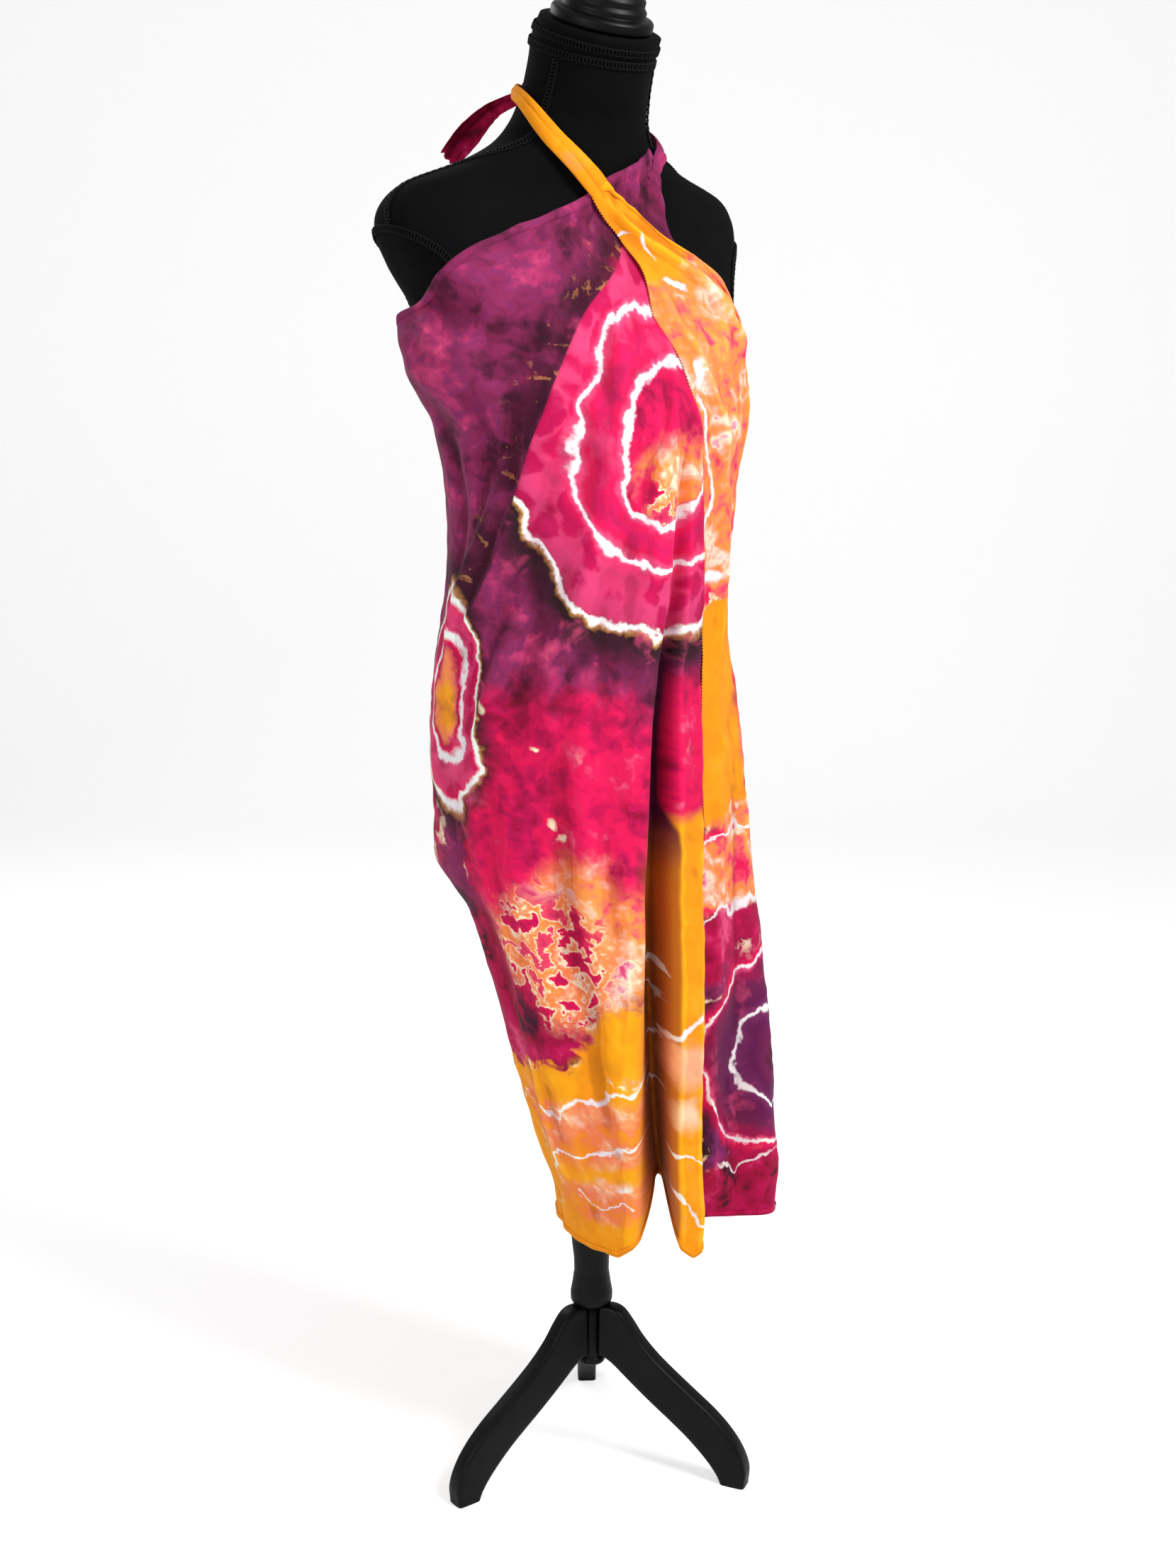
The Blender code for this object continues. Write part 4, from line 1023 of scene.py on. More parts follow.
@dataclass
class WrapShape:
    """The hanging cloth: a smooth hull, the tracks of its deep folds, and its edges."""

    form: FormShape = field(default_factory=FormShape)
    hull: Rows = (
        (0.270, 0.0620, -0.0545, 0.1135, 0.1205), (0.301, 0.0615, -0.0545, 0.1156, 0.1205),
        (0.333, 0.0588, -0.0540, 0.1185, 0.1220), (0.364, 0.0512, -0.0530, 0.1237, 0.1230),
        (0.427, 0.0407, -0.0490, 0.1326, 0.1250), (0.489, 0.0324, -0.0435, 0.1385, 0.1275),
        (0.550, 0.0238, -0.0365, 0.1432, 0.1295), (0.610, 0.0140, -0.0285, 0.1499, 0.1315),
        (0.670, 0.0031, -0.0205, 0.1566, 0.1335), (0.729, -0.0037, -0.0135, 0.1593, 0.1355),
        (0.787, -0.0112, -0.0085, 0.1586, 0.1375), (0.844, -0.0159, -0.0075, 0.1519, 0.1355),
        (0.901, -0.0162, -0.0090, 0.1454, 0.1330), (0.957, -0.0119, -0.0115, 0.1422, 0.1305),
        (1.010, -0.0099, -0.0130, 0.1434, 0.1290), (1.067, -0.0093, -0.0130, 0.1484, 0.1280),
        (1.120, -0.0110, -0.0130, 0.1620, 0.1270), (1.150, -0.0160, -0.0060, 0.1750, 0.1210),
        (1.180, -0.0170, 0.0040, 0.1790, 0.1130), (1.210, -0.0140, 0.0180, 0.1700, 0.0900),
        (1.240, -0.0080, 0.0340, 0.1500, 0.0750), (1.290, -0.0080, 0.0440, 0.1500, 0.0600),
        (1.340, -0.0070, 0.0340, 0.1000, 0.0450), (1.420, -0.0040, 0.0090, 0.0500, 0.0400),
    )
    core: Rows = ((0.270, 0.095, -0.012), (0.500, 0.062, 0.005), (0.700, 0.020, 0.010),
                  (0.900, 0.000, 0.010), (1.420, -0.004, 0.010))
    track_height: tuple[float, ...] = (0.280, 0.500, 0.700, 0.890, 1.020, 1.120, 1.200, 1.280, 1.340)
    tracks: Rows = (
        (-118, -116, -114, -112, -110, -108, -104, -104, -104),
        (-50, -31, -11, 3, 8, 8, 2, -4, -10),
        (-33, -17, 1, 12, 15, 14, 7, 1, -5),
        (-20, -4, 15, 25, 23, 19, 11, 6, 0),
        (-13, 2, 21, 31, 29, 25, 17, 12, 6),
        (66, 64, 60, 54, 50, 46, 43, 44, 53),
    )
    valley: tuple[float, ...] = (0.62, 0.44, 0.30, 0.17, 0.07, 0.02, 0.0, 0.0, 0.0)
    step_inset: tuple[float, ...] = (0.024, 0.016, 0.012, 0.009, 0.0080, 0.0060, 0.0035, 0.0, 0.0)
    hollow: Rows = (
        (0.270, 14, 36, 0.44), (0.400, 18, 30, 0.34), (0.550, 30, 26, 0.18), (0.700, 42, 22, 0.07),
        (0.850, 46, 20, 0.0), (1.420, 46, 20, 0.0),
    )
    under_top: Rows = (
        (-104, 1.205), (-92, 1.218), (-77.6, 1.236), (-69.8, 1.2505), (-59.7, 1.275), (-50.6, 1.292),
        (-35.2, 1.3075), (-10.5, 1.324), (7.3, 1.339), (27.7, 1.350), (41.2, 1.360), (50, 1.369), (55, 1.348),
    )
    over_top: Rows = (
        (-11.8, 1.327), (3.6, 1.3355), (23.7, 1.312), (35, 1.2896), (43.5, 1.2695), (48.3, 1.2476),
        (54.4, 1.223), (60, 1.214), (74, 1.202), (95, 1.190),
    )
    back_top: Rows = ((95, 1.190), (140, 1.184), (180, 1.184), (220, 1.194), (240, 1.202), (256, 1.205))
    under_hem: Rows = (
        (-118, 0.290), (-90, 0.286), (-60, 0.285), (-50, 0.300), (-42, 0.345), (-35, 0.338), (-27, 0.300),
        (-22, 0.292), (-16, 0.301), (-9, 0.318), (4, 0.322), (20, 0.310), (66, 0.290),
    )
    over_free: Rows = (
        (0.288, 22), (0.325, 10), (0.362, -4), (0.420, 1), (0.500, 6), (0.700, 25), (0.890, 33), (1.020, 28),
        (1.070, 26), (1.120, 23), (1.167, 19), (1.210, 11.5), (1.260, 10.9), (1.287, 7.9), (1.327, -11.8),
    )
    side_seam: Rows = ((0.280, 125), (0.500, 116), (0.700, 108), (0.890, 102), (1.020, 98), (1.188, 95))
    drag: Rows = (
        (-8.0, 1.290, -84.0, 0.930, 0.0060, 0.022), (-20.0, 1.290, -104.0, 0.840, 0.0050, 0.024),
        (-2.0, 1.250, -52.0, 0.820, 0.0045, 0.022),
    )
    under_columns: tuple[int, ...] = (84, 34, 30, 18, 40)
    over_columns: int = 150
    back_columns: int = 130
    rows: int = 215
    under_clear: float = 0.0032
    over_clear: float = 0.0075
    relief_reach: tuple[int, int] = (7, 3)
    relief_rest: float = 0.0003
    relief_full: float = 0.0014

    def column(self, table: Rows, height: np.ndarray, index: int) -> np.ndarray:
        """One smoothed column of a table of rows that start with a height."""
        rows = np.asarray(table, float)
        return smooth(height, rows[:, 0], rows[:, index])

    def track(self, height: np.ndarray, index: int) -> np.ndarray:
        """Azimuth of a fold track, in radians."""
        return np.radians(smooth(height, self.track_height, self.tracks[index]))

    def hull_point(self, azimuth: np.ndarray, height: np.ndarray) -> tuple[np.ndarray, np.ndarray]:
        """Plan point on the hull's ellipse at each height."""
        centre_x, centre_y, wide, deep = (self.column(self.hull, height, k) for k in (1, 2, 3, 4))
        radius = ((np.sin(azimuth) / wide) ** 2 + (np.cos(azimuth) / deep) ** 2) ** -0.5
        return centre_x + radius * np.sin(azimuth), centre_y - radius * np.cos(azimuth)

    def drawn_in(self, x: np.ndarray, y: np.ndarray, height: np.ndarray, share: np.ndarray) -> tuple:
        """Draws a hull point towards the fold core by this share of the way."""
        core_x, core_y = self.column(self.core, height, 1), self.column(self.core, height, 2)
        return x + (core_x - x) * share, y + (core_y - y) * share

    def hollow_share(self, azimuth: np.ndarray, height: np.ndarray) -> np.ndarray:
        """The over layer's broad hollow beside the front column."""
        middle = np.radians(self.column(self.hollow, height, 1))
        spread = np.radians(self.column(self.hollow, height, 2))
        rows = np.asarray(self.hollow)
        return np.interp(height, rows[:, 0], rows[:, 3]) * np.exp(-(((azimuth - middle) / spread) ** 4))

    def outwards(self, x: np.ndarray, y: np.ndarray, height: np.ndarray, rise: np.ndarray) -> tuple:
        """Moves a plan point out from the hull's centre."""
        away_x, away_y = x - self.column(self.hull, height, 1), y - self.column(self.hull, height, 2)
        far = np.hypot(away_x, away_y)
        return x + away_x / far * rise, y + away_y / far * rise

    def drag_rise(self, azimuth: np.ndarray, height: np.ndarray) -> np.ndarray:
        """The broad ridges that run from the crossing down to the form's right hip."""
        total = np.zeros_like(azimuth)
        for start, top, end, bottom, rise, width in self.drag:
            line = np.array([np.radians(end - start) * UNROLL, bottom - top])
            length = np.hypot(*line)
            away_x, away_z = (azimuth - np.radians(start)) * UNROLL, height - top
            share = (away_x * line[0] + away_z * line[1]) / length**2
            across = (away_x * line[1] - away_z * line[0]) / length
            narrow = width * (0.45 + 0.85 * np.clip(share, 0.0, 1.0))
            ridge = rise * ease(share / 0.15) * ease((1.12 - share) / 0.30)
            total += ridge * np.exp(-((across / narrow) ** 2))
        return total

    @staticmethod
    def creased(azimuth: np.ndarray, height: np.ndarray, creases: Sequence[Crease], seed: int) -> np.ndarray:
        """Rise of the placed creases and of uneven slack between them.

        Args:
            azimuth, height: places on the wrap.
            creases: ridges and troughs.
            seed: seed of the slack.

        Returns:
            Metres outward.
        """
        u, v = azimuth * UNROLL, height
        total = 0.0015 * ripples(u * 1.6, v * 0.55, seed, 0.11, 0.035)
        total += 0.0006 * ripples(u, v * 0.8, seed + 9, 0.034, 0.013)
        for crease in creases:
            total = total + crease.height_at(u, v)
        return total

    def under(self, azimuth: np.ndarray, height: np.ndarray) -> np.ndarray:
        """Middle of the under layer."""
        x, y = self.hull_point(azimuth, height)
        left, right = self.track(height, 1), self.track(height, 2)
        depth = np.interp(height, self.track_height, self.valley)
        valley = depth * np.exp(-(((azimuth - (left + right) / 2) / ((right - left) / 2)) ** 4))
        near, far = self.track(height, 3), self.track(height, 4)
        step = ease((azimuth - near) / (far - near))
        x, y = self.drawn_in(x, y, height, valley * (1 - step) + self.hollow_share(azimuth, height) * step)
        fine = self.creased(azimuth, height, FRONT_CREASES, FRONT_SEED)
        calm = 1 - step * (1 - 0.9 * ease((height - 1.30) / 0.03))
        inset = np.interp(height, self.track_height, self.step_inset)
        rise = self.drag_rise(azimuth, height) * (1 - step) - step * inset
        x, y = self.outwards(x, y, height, rise + fine * calm)
        chest = 0.0014 * ease((height - 1.190) / 0.070)
        clear = self.under_clear + np.maximum(rise, 0.0) + np.maximum(fine * calm, -0.0005) + chest
        x, y = self.form.pushed(x, y, height, clear)
        return np.stack([x, y, height], -1)

    def over(self, azimuth: np.ndarray, height: np.ndarray) -> np.ndarray:
        """Middle of the over layer."""
        x, y = self.hull_point(azimuth, height)
        x, y = self.drawn_in(x, y, height, self.hollow_share(azimuth, height))
        free = np.radians(np.interp(height, *np.array(self.over_free).T))
        fine = self.creased(azimuth, height, SIDE_CREASES, SIDE_SEED)
        fine = np.where(fine < 0, np.maximum(fine, -0.0012 - 0.1 * np.maximum(azimuth - 1.0, 0)), fine)
        fine = fine * (0.35 + 0.65 * ease((azimuth - free) / 0.12))
        tuck = np.interp(height, self.track_height, self.step_inset) * (1 - ease((azimuth - free) / 0.22))
        fine = fine - 0.80 * tuck * ease((1.20 - height) / 0.10)
        x, y = self.outwards(x, y, height, fine)
        chest = 0.0038 * ease((height - 1.190) / 0.070)
        near_edge = 0.0020 * (1 - ease((azimuth - free) / 0.22))
        clear = self.over_clear - near_edge + np.maximum(fine, -0.0010) + chest
        x, y = self.form.pushed(x, y, height, clear)
        return np.stack([x, y, height], -1)

    def back(self, azimuth: np.ndarray, height: np.ndarray) -> np.ndarray:
        """Middle of the back, whose side edges meet the layers it continues."""
        x, y = self.hull_point(azimuth, height)
        seam = np.radians(self.column(self.side_seam, height, 1))
        turn = self.track(height, 0) + 2 * np.pi
        share = np.clip((azimuth - seam) / (turn - seam), 0.0, 1.0)
        fine = self.creased(azimuth, height, BACK_CREASES, BACK_SEED)
        fine = fine * ease(share / 0.06) * ease((1 - share) / 0.06)
        side = self.creased(azimuth, height, SIDE_CREASES, SIDE_SEED)
        front = self.creased(azimuth - 2 * np.pi, height, FRONT_CREASES, FRONT_SEED)
        fine = fine + side * ease((0.06 - share) / 0.06) + front * ease((share - 0.94) / 0.06)
        x, y = self.outwards(x, y, height, fine)
        closer = (self.over_clear - self.under_clear) * ease(share * 2.5)
        clear = self.over_clear - closer + 0.0020 * np.sin(np.pi * share)
        x, y = self.form.pushed(x, y, height, clear + np.maximum(fine, -0.0010))
        return np.stack([x, y, height], -1)

    def under_azimuth(self, share: np.ndarray, height: np.ndarray) -> np.ndarray:
        """Azimuth at each share, where whole shares are the fold tracks."""
        table = np.stack([self.track(height, k) for k in range(len(self.tracks))])
        index = np.minimum(np.floor(share), len(self.tracks) - 2).astype(int)
        index = np.broadcast_to(index, height.shape)[None]
        low = np.take_along_axis(table, index, 0)[0]
        high = np.take_along_axis(table, index + 1, 0)[0]
        return low + (high - low) * (share - index[0])

    def over_azimuth(self, share: np.ndarray, height: np.ndarray) -> np.ndarray:
        """Azimuth between the free edge and the side seam."""
        free = np.radians(np.interp(height, *np.array(self.over_free).T))
        return free + (np.radians(self.column(self.side_seam, height, 1)) - free) * share

    def back_azimuth(self, share: np.ndarray, height: np.ndarray) -> np.ndarray:
        """Azimuth between the side seam and the turn into the under layer."""
        seam = np.radians(self.column(self.side_seam, height, 1))
        return seam + (self.track(height, 0) + 2 * np.pi - seam) * share

    def panel(
        self, shares: np.ndarray, azimuth_at: Callable, point_at: Callable, hem: Rows, top: Rows, turns: float
    ) -> Panel:
        """Points of a panel whose columns climb from its hem to its top edge.

        Args:
            shares: share of each column.
            azimuth_at: azimuth from share and height.
            point_at: point from azimuth and height.
            hem, top: azimuth and height rows of the two edges.
            turns: full turns taken off the azimuth in the cloth map, as the sheet winds on.

        Returns:
            The panel.
        """
        low = np.full(len(shares), 0.29)
        high = np.full(len(shares), 1.25)
        for _ in range(40):
            low = (low + np.interp(np.degrees(azimuth_at(shares, low)), *np.array(hem).T)) / 2
            high = (high + np.interp(np.degrees(azimuth_at(shares, high)), *np.array(top).T)) / 2
        climb = np.linspace(0.0, 1.0, self.rows) ** 1.1
        height = low[:, None] + (high - low)[:, None] * climb
        azimuth = azimuth_at(np.broadcast_to(shares[:, None], height.shape), height)
        points = point_at(azimuth, height)
        around, upward = np.gradient(points, axis=0), np.gradient(points, axis=1)
        facing = unit(np.cross(around, upward))
        away = points - np.array([0.0, 0.02, 0.0])
        if (facing * away)[..., :2].sum() < 0:
            facing = -facing
        cloth = np.stack([(azimuth - turns * 2 * np.pi) * UNROLL, height], -1)
        far, _, side = MAIN_FOLD.measure(azimuth * UNROLL, height)
        tracks = np.broadcast_to(shares[:, None], height.shape)
        maps = {"cloth": cloth, "panel": np.stack([tracks, far * np.sign(side)], -1)}
        # The relief map drives the dyed finish's painted shade in troughs and painted highlight on ridges
        maps["relief"] = np.stack([self.relief(points, facing), np.zeros_like(height)], -1)
        return Panel(points, maps, facing)

    def relief(self, points: np.ndarray, facing: np.ndarray) -> np.ndarray:
        """How far each point stands out from its surroundings: -1 in a trough, 1 on a ridge.

        The surroundings are the mean over relief_reach columns and rows each way. A point that
        stands out by relief_rest is at 0, and one that stands out by relief_full more is at 1.

        Args:
            points: the panel's points.
            facing: its outward unit vectors.

        Returns:
            Relief of each point.
        """
        soft = points
        for axis, reach in enumerate(self.relief_reach):
            room = [(reach, reach) if k == axis else (0, 0) for k in range(3)]
            wide = np.pad(soft, room, mode="reflect", reflect_type="odd")
            soft = np.lib.stride_tricks.sliding_window_view(wide, 2 * reach + 1, axis).mean(-1)
        stands = ((points - soft) * facing).sum(-1)
        return np.clip((stands - self.relief_rest) / self.relief_full, -1.0, 1.0)

    def under_panel(self) -> Panel:
        """The under front, from the left turn to its hidden free edge."""
        shares = [np.linspace(k, k + 1, count, endpoint=False) for k, count in enumerate(self.under_columns)]
        shares = np.append(np.concatenate(shares), len(self.under_columns) - 1e-6)
        return self.panel(shares, self.under_azimuth, self.under, self.under_hem, self.under_top, 0.0)

    def over_panel(self) -> Panel:
        """The over front, from its free edge to the side seam; its map's fold part is left plain."""
        shares = np.linspace(0, 1, self.over_columns) ** 1.25
        hem = ((0.0, 0.288), (1.0, 0.288))
        made = self.panel(shares, self.over_azimuth, self.over, hem, self.over_top, 1.0)
        made.maps["panel"] = np.zeros_like(made.maps["panel"]) + np.array([0.0, 1.0])
        return made

    def back_panel(self) -> Panel:
        """The back, from the side seam to the left turn."""
        shares = np.linspace(0, 1, self.back_columns)
        hem = ((0.0, 0.290), (1.0, 0.290))
        made = self.panel(shares, self.back_azimuth, self.back, hem, self.back_top, 1.0)
        made.maps["panel"] = np.zeros_like(made.maps["panel"]) + np.array([0.0, 1.0])
        return made


# Plain finishes


@dataclass(frozen=True)
class Jersey:
    """Black cotton jersey stretched over foam: matt, with a fine rib."""

    colour: Colour = (0.0026, 0.0026, 0.0032)
    dusty: Colour = (0.0042, 0.0042, 0.0048)
    roughness: float = 0.92
    rib: float = 0.0011

    def material(self) -> bpy.types.Material:
        """Builds the finish."""
        made, g, shader = new_material(
            "black_jersey", Base_Color=(*self.colour, 1.0), Roughness=self.roughness, Sheen_Weight=0.012,
            Sheen_Roughness=0.5, Specular_IOR_Level=0.05,
        )
        place = g.node("ShaderNodeTexCoord").outputs["Object"]
        _, _, up = g.node("ShaderNodeSeparateXYZ", {0: place}).outputs
        rows = g.math("SINE", g.math("MULTIPLY", up, 2 * np.pi / self.rib))
        lint = g.noise(place, 900.0, 2.0).outputs[0]
        height = g.math("ADD", g.math("MULTIPLY", rows, 0.3), lint)
        bump = g.node("ShaderNodeBump", {"Height": height, "Strength": 0.35, "Distance": 0.0004})
        g.tree.links.new(bump.outputs[0], shader.inputs["Normal"])
        patch = g.noise(place, 14.0, 4.0).outputs[0]
        dust = g.ramp(patch, ((0.35, self.colour), (0.75, self.dusty))).outputs[0]
        g.tree.links.new(dust, shader.inputs["Base Color"])
        return made


@dataclass(frozen=True)
class Gimp:
    """Black corded braid with a dull silky thread."""

    colour: Colour = (0.0022, 0.0022, 0.0028)

    def material(self) -> bpy.types.Material:
        """Builds the finish."""
        made, g, shader = new_material(
            "black_gimp", Base_Color=(*self.colour, 1.0), Roughness=0.66, Sheen_Weight=0.02,
            Specular_IOR_Level=0.12,
        )
        place = g.node("ShaderNodeTexCoord").outputs["Object"]
        strands = g.noise(place, 1500.0, 1.0).outputs[0]
        bump = g.node("ShaderNodeBump", {"Height": strands, "Strength": 0.5, "Distance": 0.0004})
        g.tree.links.new(bump.outputs[0], shader.inputs["Normal"])
        return made


@dataclass(frozen=True)
class Lacquer:
    """Black satin lacquer on turned wood, with faint wear."""

    name: str = "black_lacquer"
    colour: Colour = (0.0020, 0.0020, 0.0022)
    worn: Colour = (0.0060, 0.0058, 0.0056)
    roughness: float = 0.40

    def material(self) -> bpy.types.Material:
        """Builds the finish."""
        made, g, shader = new_material(self.name, Specular_IOR_Level=0.16)
        place = g.node("ShaderNodeTexCoord").outputs["Object"]
        patch = g.noise(place, 18.0, 5.0).outputs[0]
        colour = g.ramp(patch, ((0.5, self.colour), (0.8, self.worn))).outputs[0]
        g.tree.links.new(colour, shader.inputs["Base Color"])
        rough = g.math("MULTIPLY_ADD", g.noise(place, 60.0, 4.0).outputs[0], 0.22, self.roughness - 0.10)
        g.tree.links.new(rough, shader.inputs["Roughness"])
        grain = g.noise(g.vector("MULTIPLY", place, (1.0, 1.0, 0.12)), 420.0, 3.0).outputs[0]
        bump = g.node("ShaderNodeBump", {"Height": grain, "Strength": 0.12, "Distance": 0.0005})
        g.tree.links.new(bump.outputs[0], shader.inputs["Normal"])
        return made


# Assemblies


@dataclass
class DressForm:
    """The limbless jersey form with its gimp braid and turned neck cap."""

    shape: FormShape = field(default_factory=FormShape)
    rings: int = 190
    sides: int = 168
    cord_radius: float = 0.0009
    braid_reach: float = 0.0036
    braid_pitch: float = 0.0068
    cap_profile: Rows = (
        (0.0465, 0.0004), (0.0490, 0.0025), (0.0490, 0.0100), (0.0470, 0.0125),
        (0.0400, 0.0140), (0.0405, 0.0190), (0.0375, 0.0230), (0.0380, 0.0280), (0.0335, 0.0345),
        (0.0240, 0.0390), (0.0140, 0.0425), (0.0130, 0.0470), (0.0145, 0.0530), (0.0095, 0.0585),
        (0.0008, 0.0600),
    )

    def build(
        self, jersey: bpy.types.Material, gimp: bpy.types.Material, lacquer: bpy.types.Material
    ) -> None:
        """Builds the form, its braids and its cap.

        Args:
            jersey, gimp, lacquer: finishes.
        """
        low, high = self.shape.height[0], self.shape.height[-1]
        height = low + (high - low) * np.linspace(0, 1, self.rings) ** 0.86
        turn = np.arange(self.sides) * 2 * np.pi / self.sides
        azimuth, height = np.broadcast_arrays(turn[None], height[:, None])
        points = self.shape.point(azimuth, height, np.zeros_like(height))
        torso = grid_object("form_body", points, jersey, wrap=(False, True), caps=True)
        stand_in(torso, "form_torso")
        around = np.linspace(-180, 180, 61)[:-1]
        rows = [(a, 1.4665) for a in around], [(a, 1.4550) for a in around]
        top = [self.braid(f"neck_braid_{k}", row, gimp, True) for k, row in enumerate(rows)]
        stand_in(top[0][0], "form_neck_braid")
        for side, name in ((1.0, "right"), (-1.0, "left")):
            seam = ((-65, 1.449), (-64, 1.4148), (-61.3, 1.380), (-69.2, 1.366), (-85.6, 1.352), (-89, 1.335),
                    (-88, 1.312), (-86, 1.294))
            self.braid(f"seam_braid_{name}", [(side * a, h) for a, h in seam], gimp, False)
            angle = np.linspace(0, 2 * np.pi, 41)[:-1]
            oval = np.stack([side * (-91 + 24 * np.cos(angle)), 1.236 + 0.054 * np.sin(angle)], -1)
            self.braid(f"arm_braid_{name}", oval, gimp, True)
        centre = self.shape.section(np.array(high))
        lean = np.array([0.0, -np.sin(self.shape.neck_tilt), np.cos(self.shape.neck_tilt)])
        foot = np.array([float(centre[0]), float(centre[2]), high])
        stand_in(turned("neck_cap", self.cap_profile, foot, lean, lacquer), "form_neck_cap")

    def braid(self, name: str, rows: Rows, gimp: bpy.types.Material, closed: bool) -> list[bpy.types.Object]:
        """Two interlaced cords that snake along a line on the form.

        Each cord swings across the line as a sine and lifts over the other twice a period.

        Args:
            name: object name.
            rows: azimuth and height rows.
            gimp: finish.
            closed: whether the line closes.

        Returns:
            The cords.
        """
        table = np.asarray(rows, float)
        if closed:
            table = np.vstack([table[-1:], table, table[:2]])
            start, end = 1.0, len(table) - 2.0
        else:
            start, end = 0.0, len(table) - 1.0
        at = np.linspace(start, end, 40 * len(table))
        stations = np.arange(len(table))
        angles = np.unwrap(table[:, 0], period=360)
        line = np.stack([smooth(at, stations, angles), smooth(at, stations, table[:, 1])], -1)
        run = run_along(self.shape.point(np.radians(line[:, 0]), line[:, 1], np.zeros(len(line))))
        periods = max(2, round(run[-1] / self.braid_pitch))
        steps = periods * 12 + (not closed)
        place = np.linspace(0, run[-1], steps, endpoint=not closed)
        azimuth = np.radians(np.interp(place, run, line[:, 0]))
        height = np.interp(place, run, line[:, 1])
        lift = np.full(steps, self.cord_radius * 0.7)
        base = self.shape.point(azimuth, height, lift)
        out = self.shape.facing(azimuth, height, lift)
        across, out = frames(base, out, closed)
        made = []
        for k in (0, 1):
            phase = place / run[-1] * periods * 2 * np.pi + k * np.pi
            swing = np.sin(phase) + 0.22 * np.sin(3 * phase)
            weave = self.cord_radius * (0.55 + 0.55 * np.cos(2 * phase + k * np.pi))
            cord = base + across * (self.braid_reach * swing)[:, None] + out * weave[:, None]
            tube = sweep(cord, out, circle(self.cord_radius, 7), closed)
            made.append(grid_object(f"{name}_{k}", tube, gimp, wrap=(closed, True), caps=not closed))
        return made


@dataclass
class Stand:
    """The turned pole and hub and three scrolled legs."""

    pole_profile: Rows = (
        (0.0205, 0.1780), (0.0224, 0.1815), (0.0226, 0.1900), (0.0206, 0.2010),
        (0.0186, 0.2155), (0.0190, 0.2290), (0.0210, 0.2460), (0.0228, 0.2660), (0.0236, 0.2900),
        (0.0236, 0.6896),
    )
    hub_profile: Rows = (
        (0.0100, 0.1064), (0.0142, 0.1090), (0.0150, 0.1130), (0.0142, 0.1155),
        (0.0125, 0.1165), (0.0125, 0.1777),
    )
    leg_upper: Rows = (
        (0.0128, 0.1770), (0.0260, 0.1775), (0.0360, 0.1735), (0.0460, 0.1620), (0.0580, 0.1455),
        (0.0750, 0.1280), (0.0960, 0.1110), (0.1180, 0.0945), (0.1400, 0.0780), (0.1580, 0.0610),
        (0.1720, 0.0420), (0.1800, 0.0210), (0.1790, 0.0000),
    )
    leg_lower: Rows = (
        (0.0128, 0.1180), (0.0160, 0.1180), (0.0210, 0.1160), (0.0290, 0.1110), (0.0400, 0.1020),
        (0.0560, 0.0890), (0.0740, 0.0750), (0.0930, 0.0610), (0.1110, 0.0470), (0.1260, 0.0335),
        (0.1390, 0.0200), (0.1480, 0.0080), (0.1520, 0.0000),
    )
    leg_thickness: float = 0.021
    bearings: tuple[tuple[str, float], ...] = (("right", -175.2), ("front", -55.2), ("back", 60.0))

    def build(self, lacquer: bpy.types.Material) -> None:
        """Builds the pole, hub and legs.

        Args:
            lacquer: finish.
        """
        up, foot = np.array([0.0, 0.0, 1.0]), np.zeros(3)
        for name, profile in (("pole", self.pole_profile), ("hub", self.hub_profile)):
            stand_in(turned(name, profile, foot, up, lacquer), f"stand_{name}")
        turn = np.arange(32) * 2 * np.pi / 32
        corner = np.stack([np.cos(turn), np.sin(turn)], -1)
        corner = np.sign(corner) * np.abs(corner) ** (2 / 6.5)
        upper, lower = along_path(self.leg_upper, 72), along_path(self.leg_lower, 72)
        for name, bearing in self.bearings:
            outward = np.array([np.cos(np.radians(bearing)), np.sin(np.radians(bearing)), 0.0])
            aside = np.array([-outward[1], outward[0], 0.0]) * self.leg_thickness / 2
            high, low = (outward * edge[:, :1] + up * edge[:, 1:] for edge in (upper, lower))
            middle, half = (high + low) / 2, (high - low) / 2
            rings = middle[:, None] + aside * corner[None, :, :1] + half[:, None] * corner[None, :, 1:]
            made = grid_object(f"leg_{name}", rings, lacquer, wrap=(False, True), caps=True)
            stand_in(made, f"stand_leg_{name}")


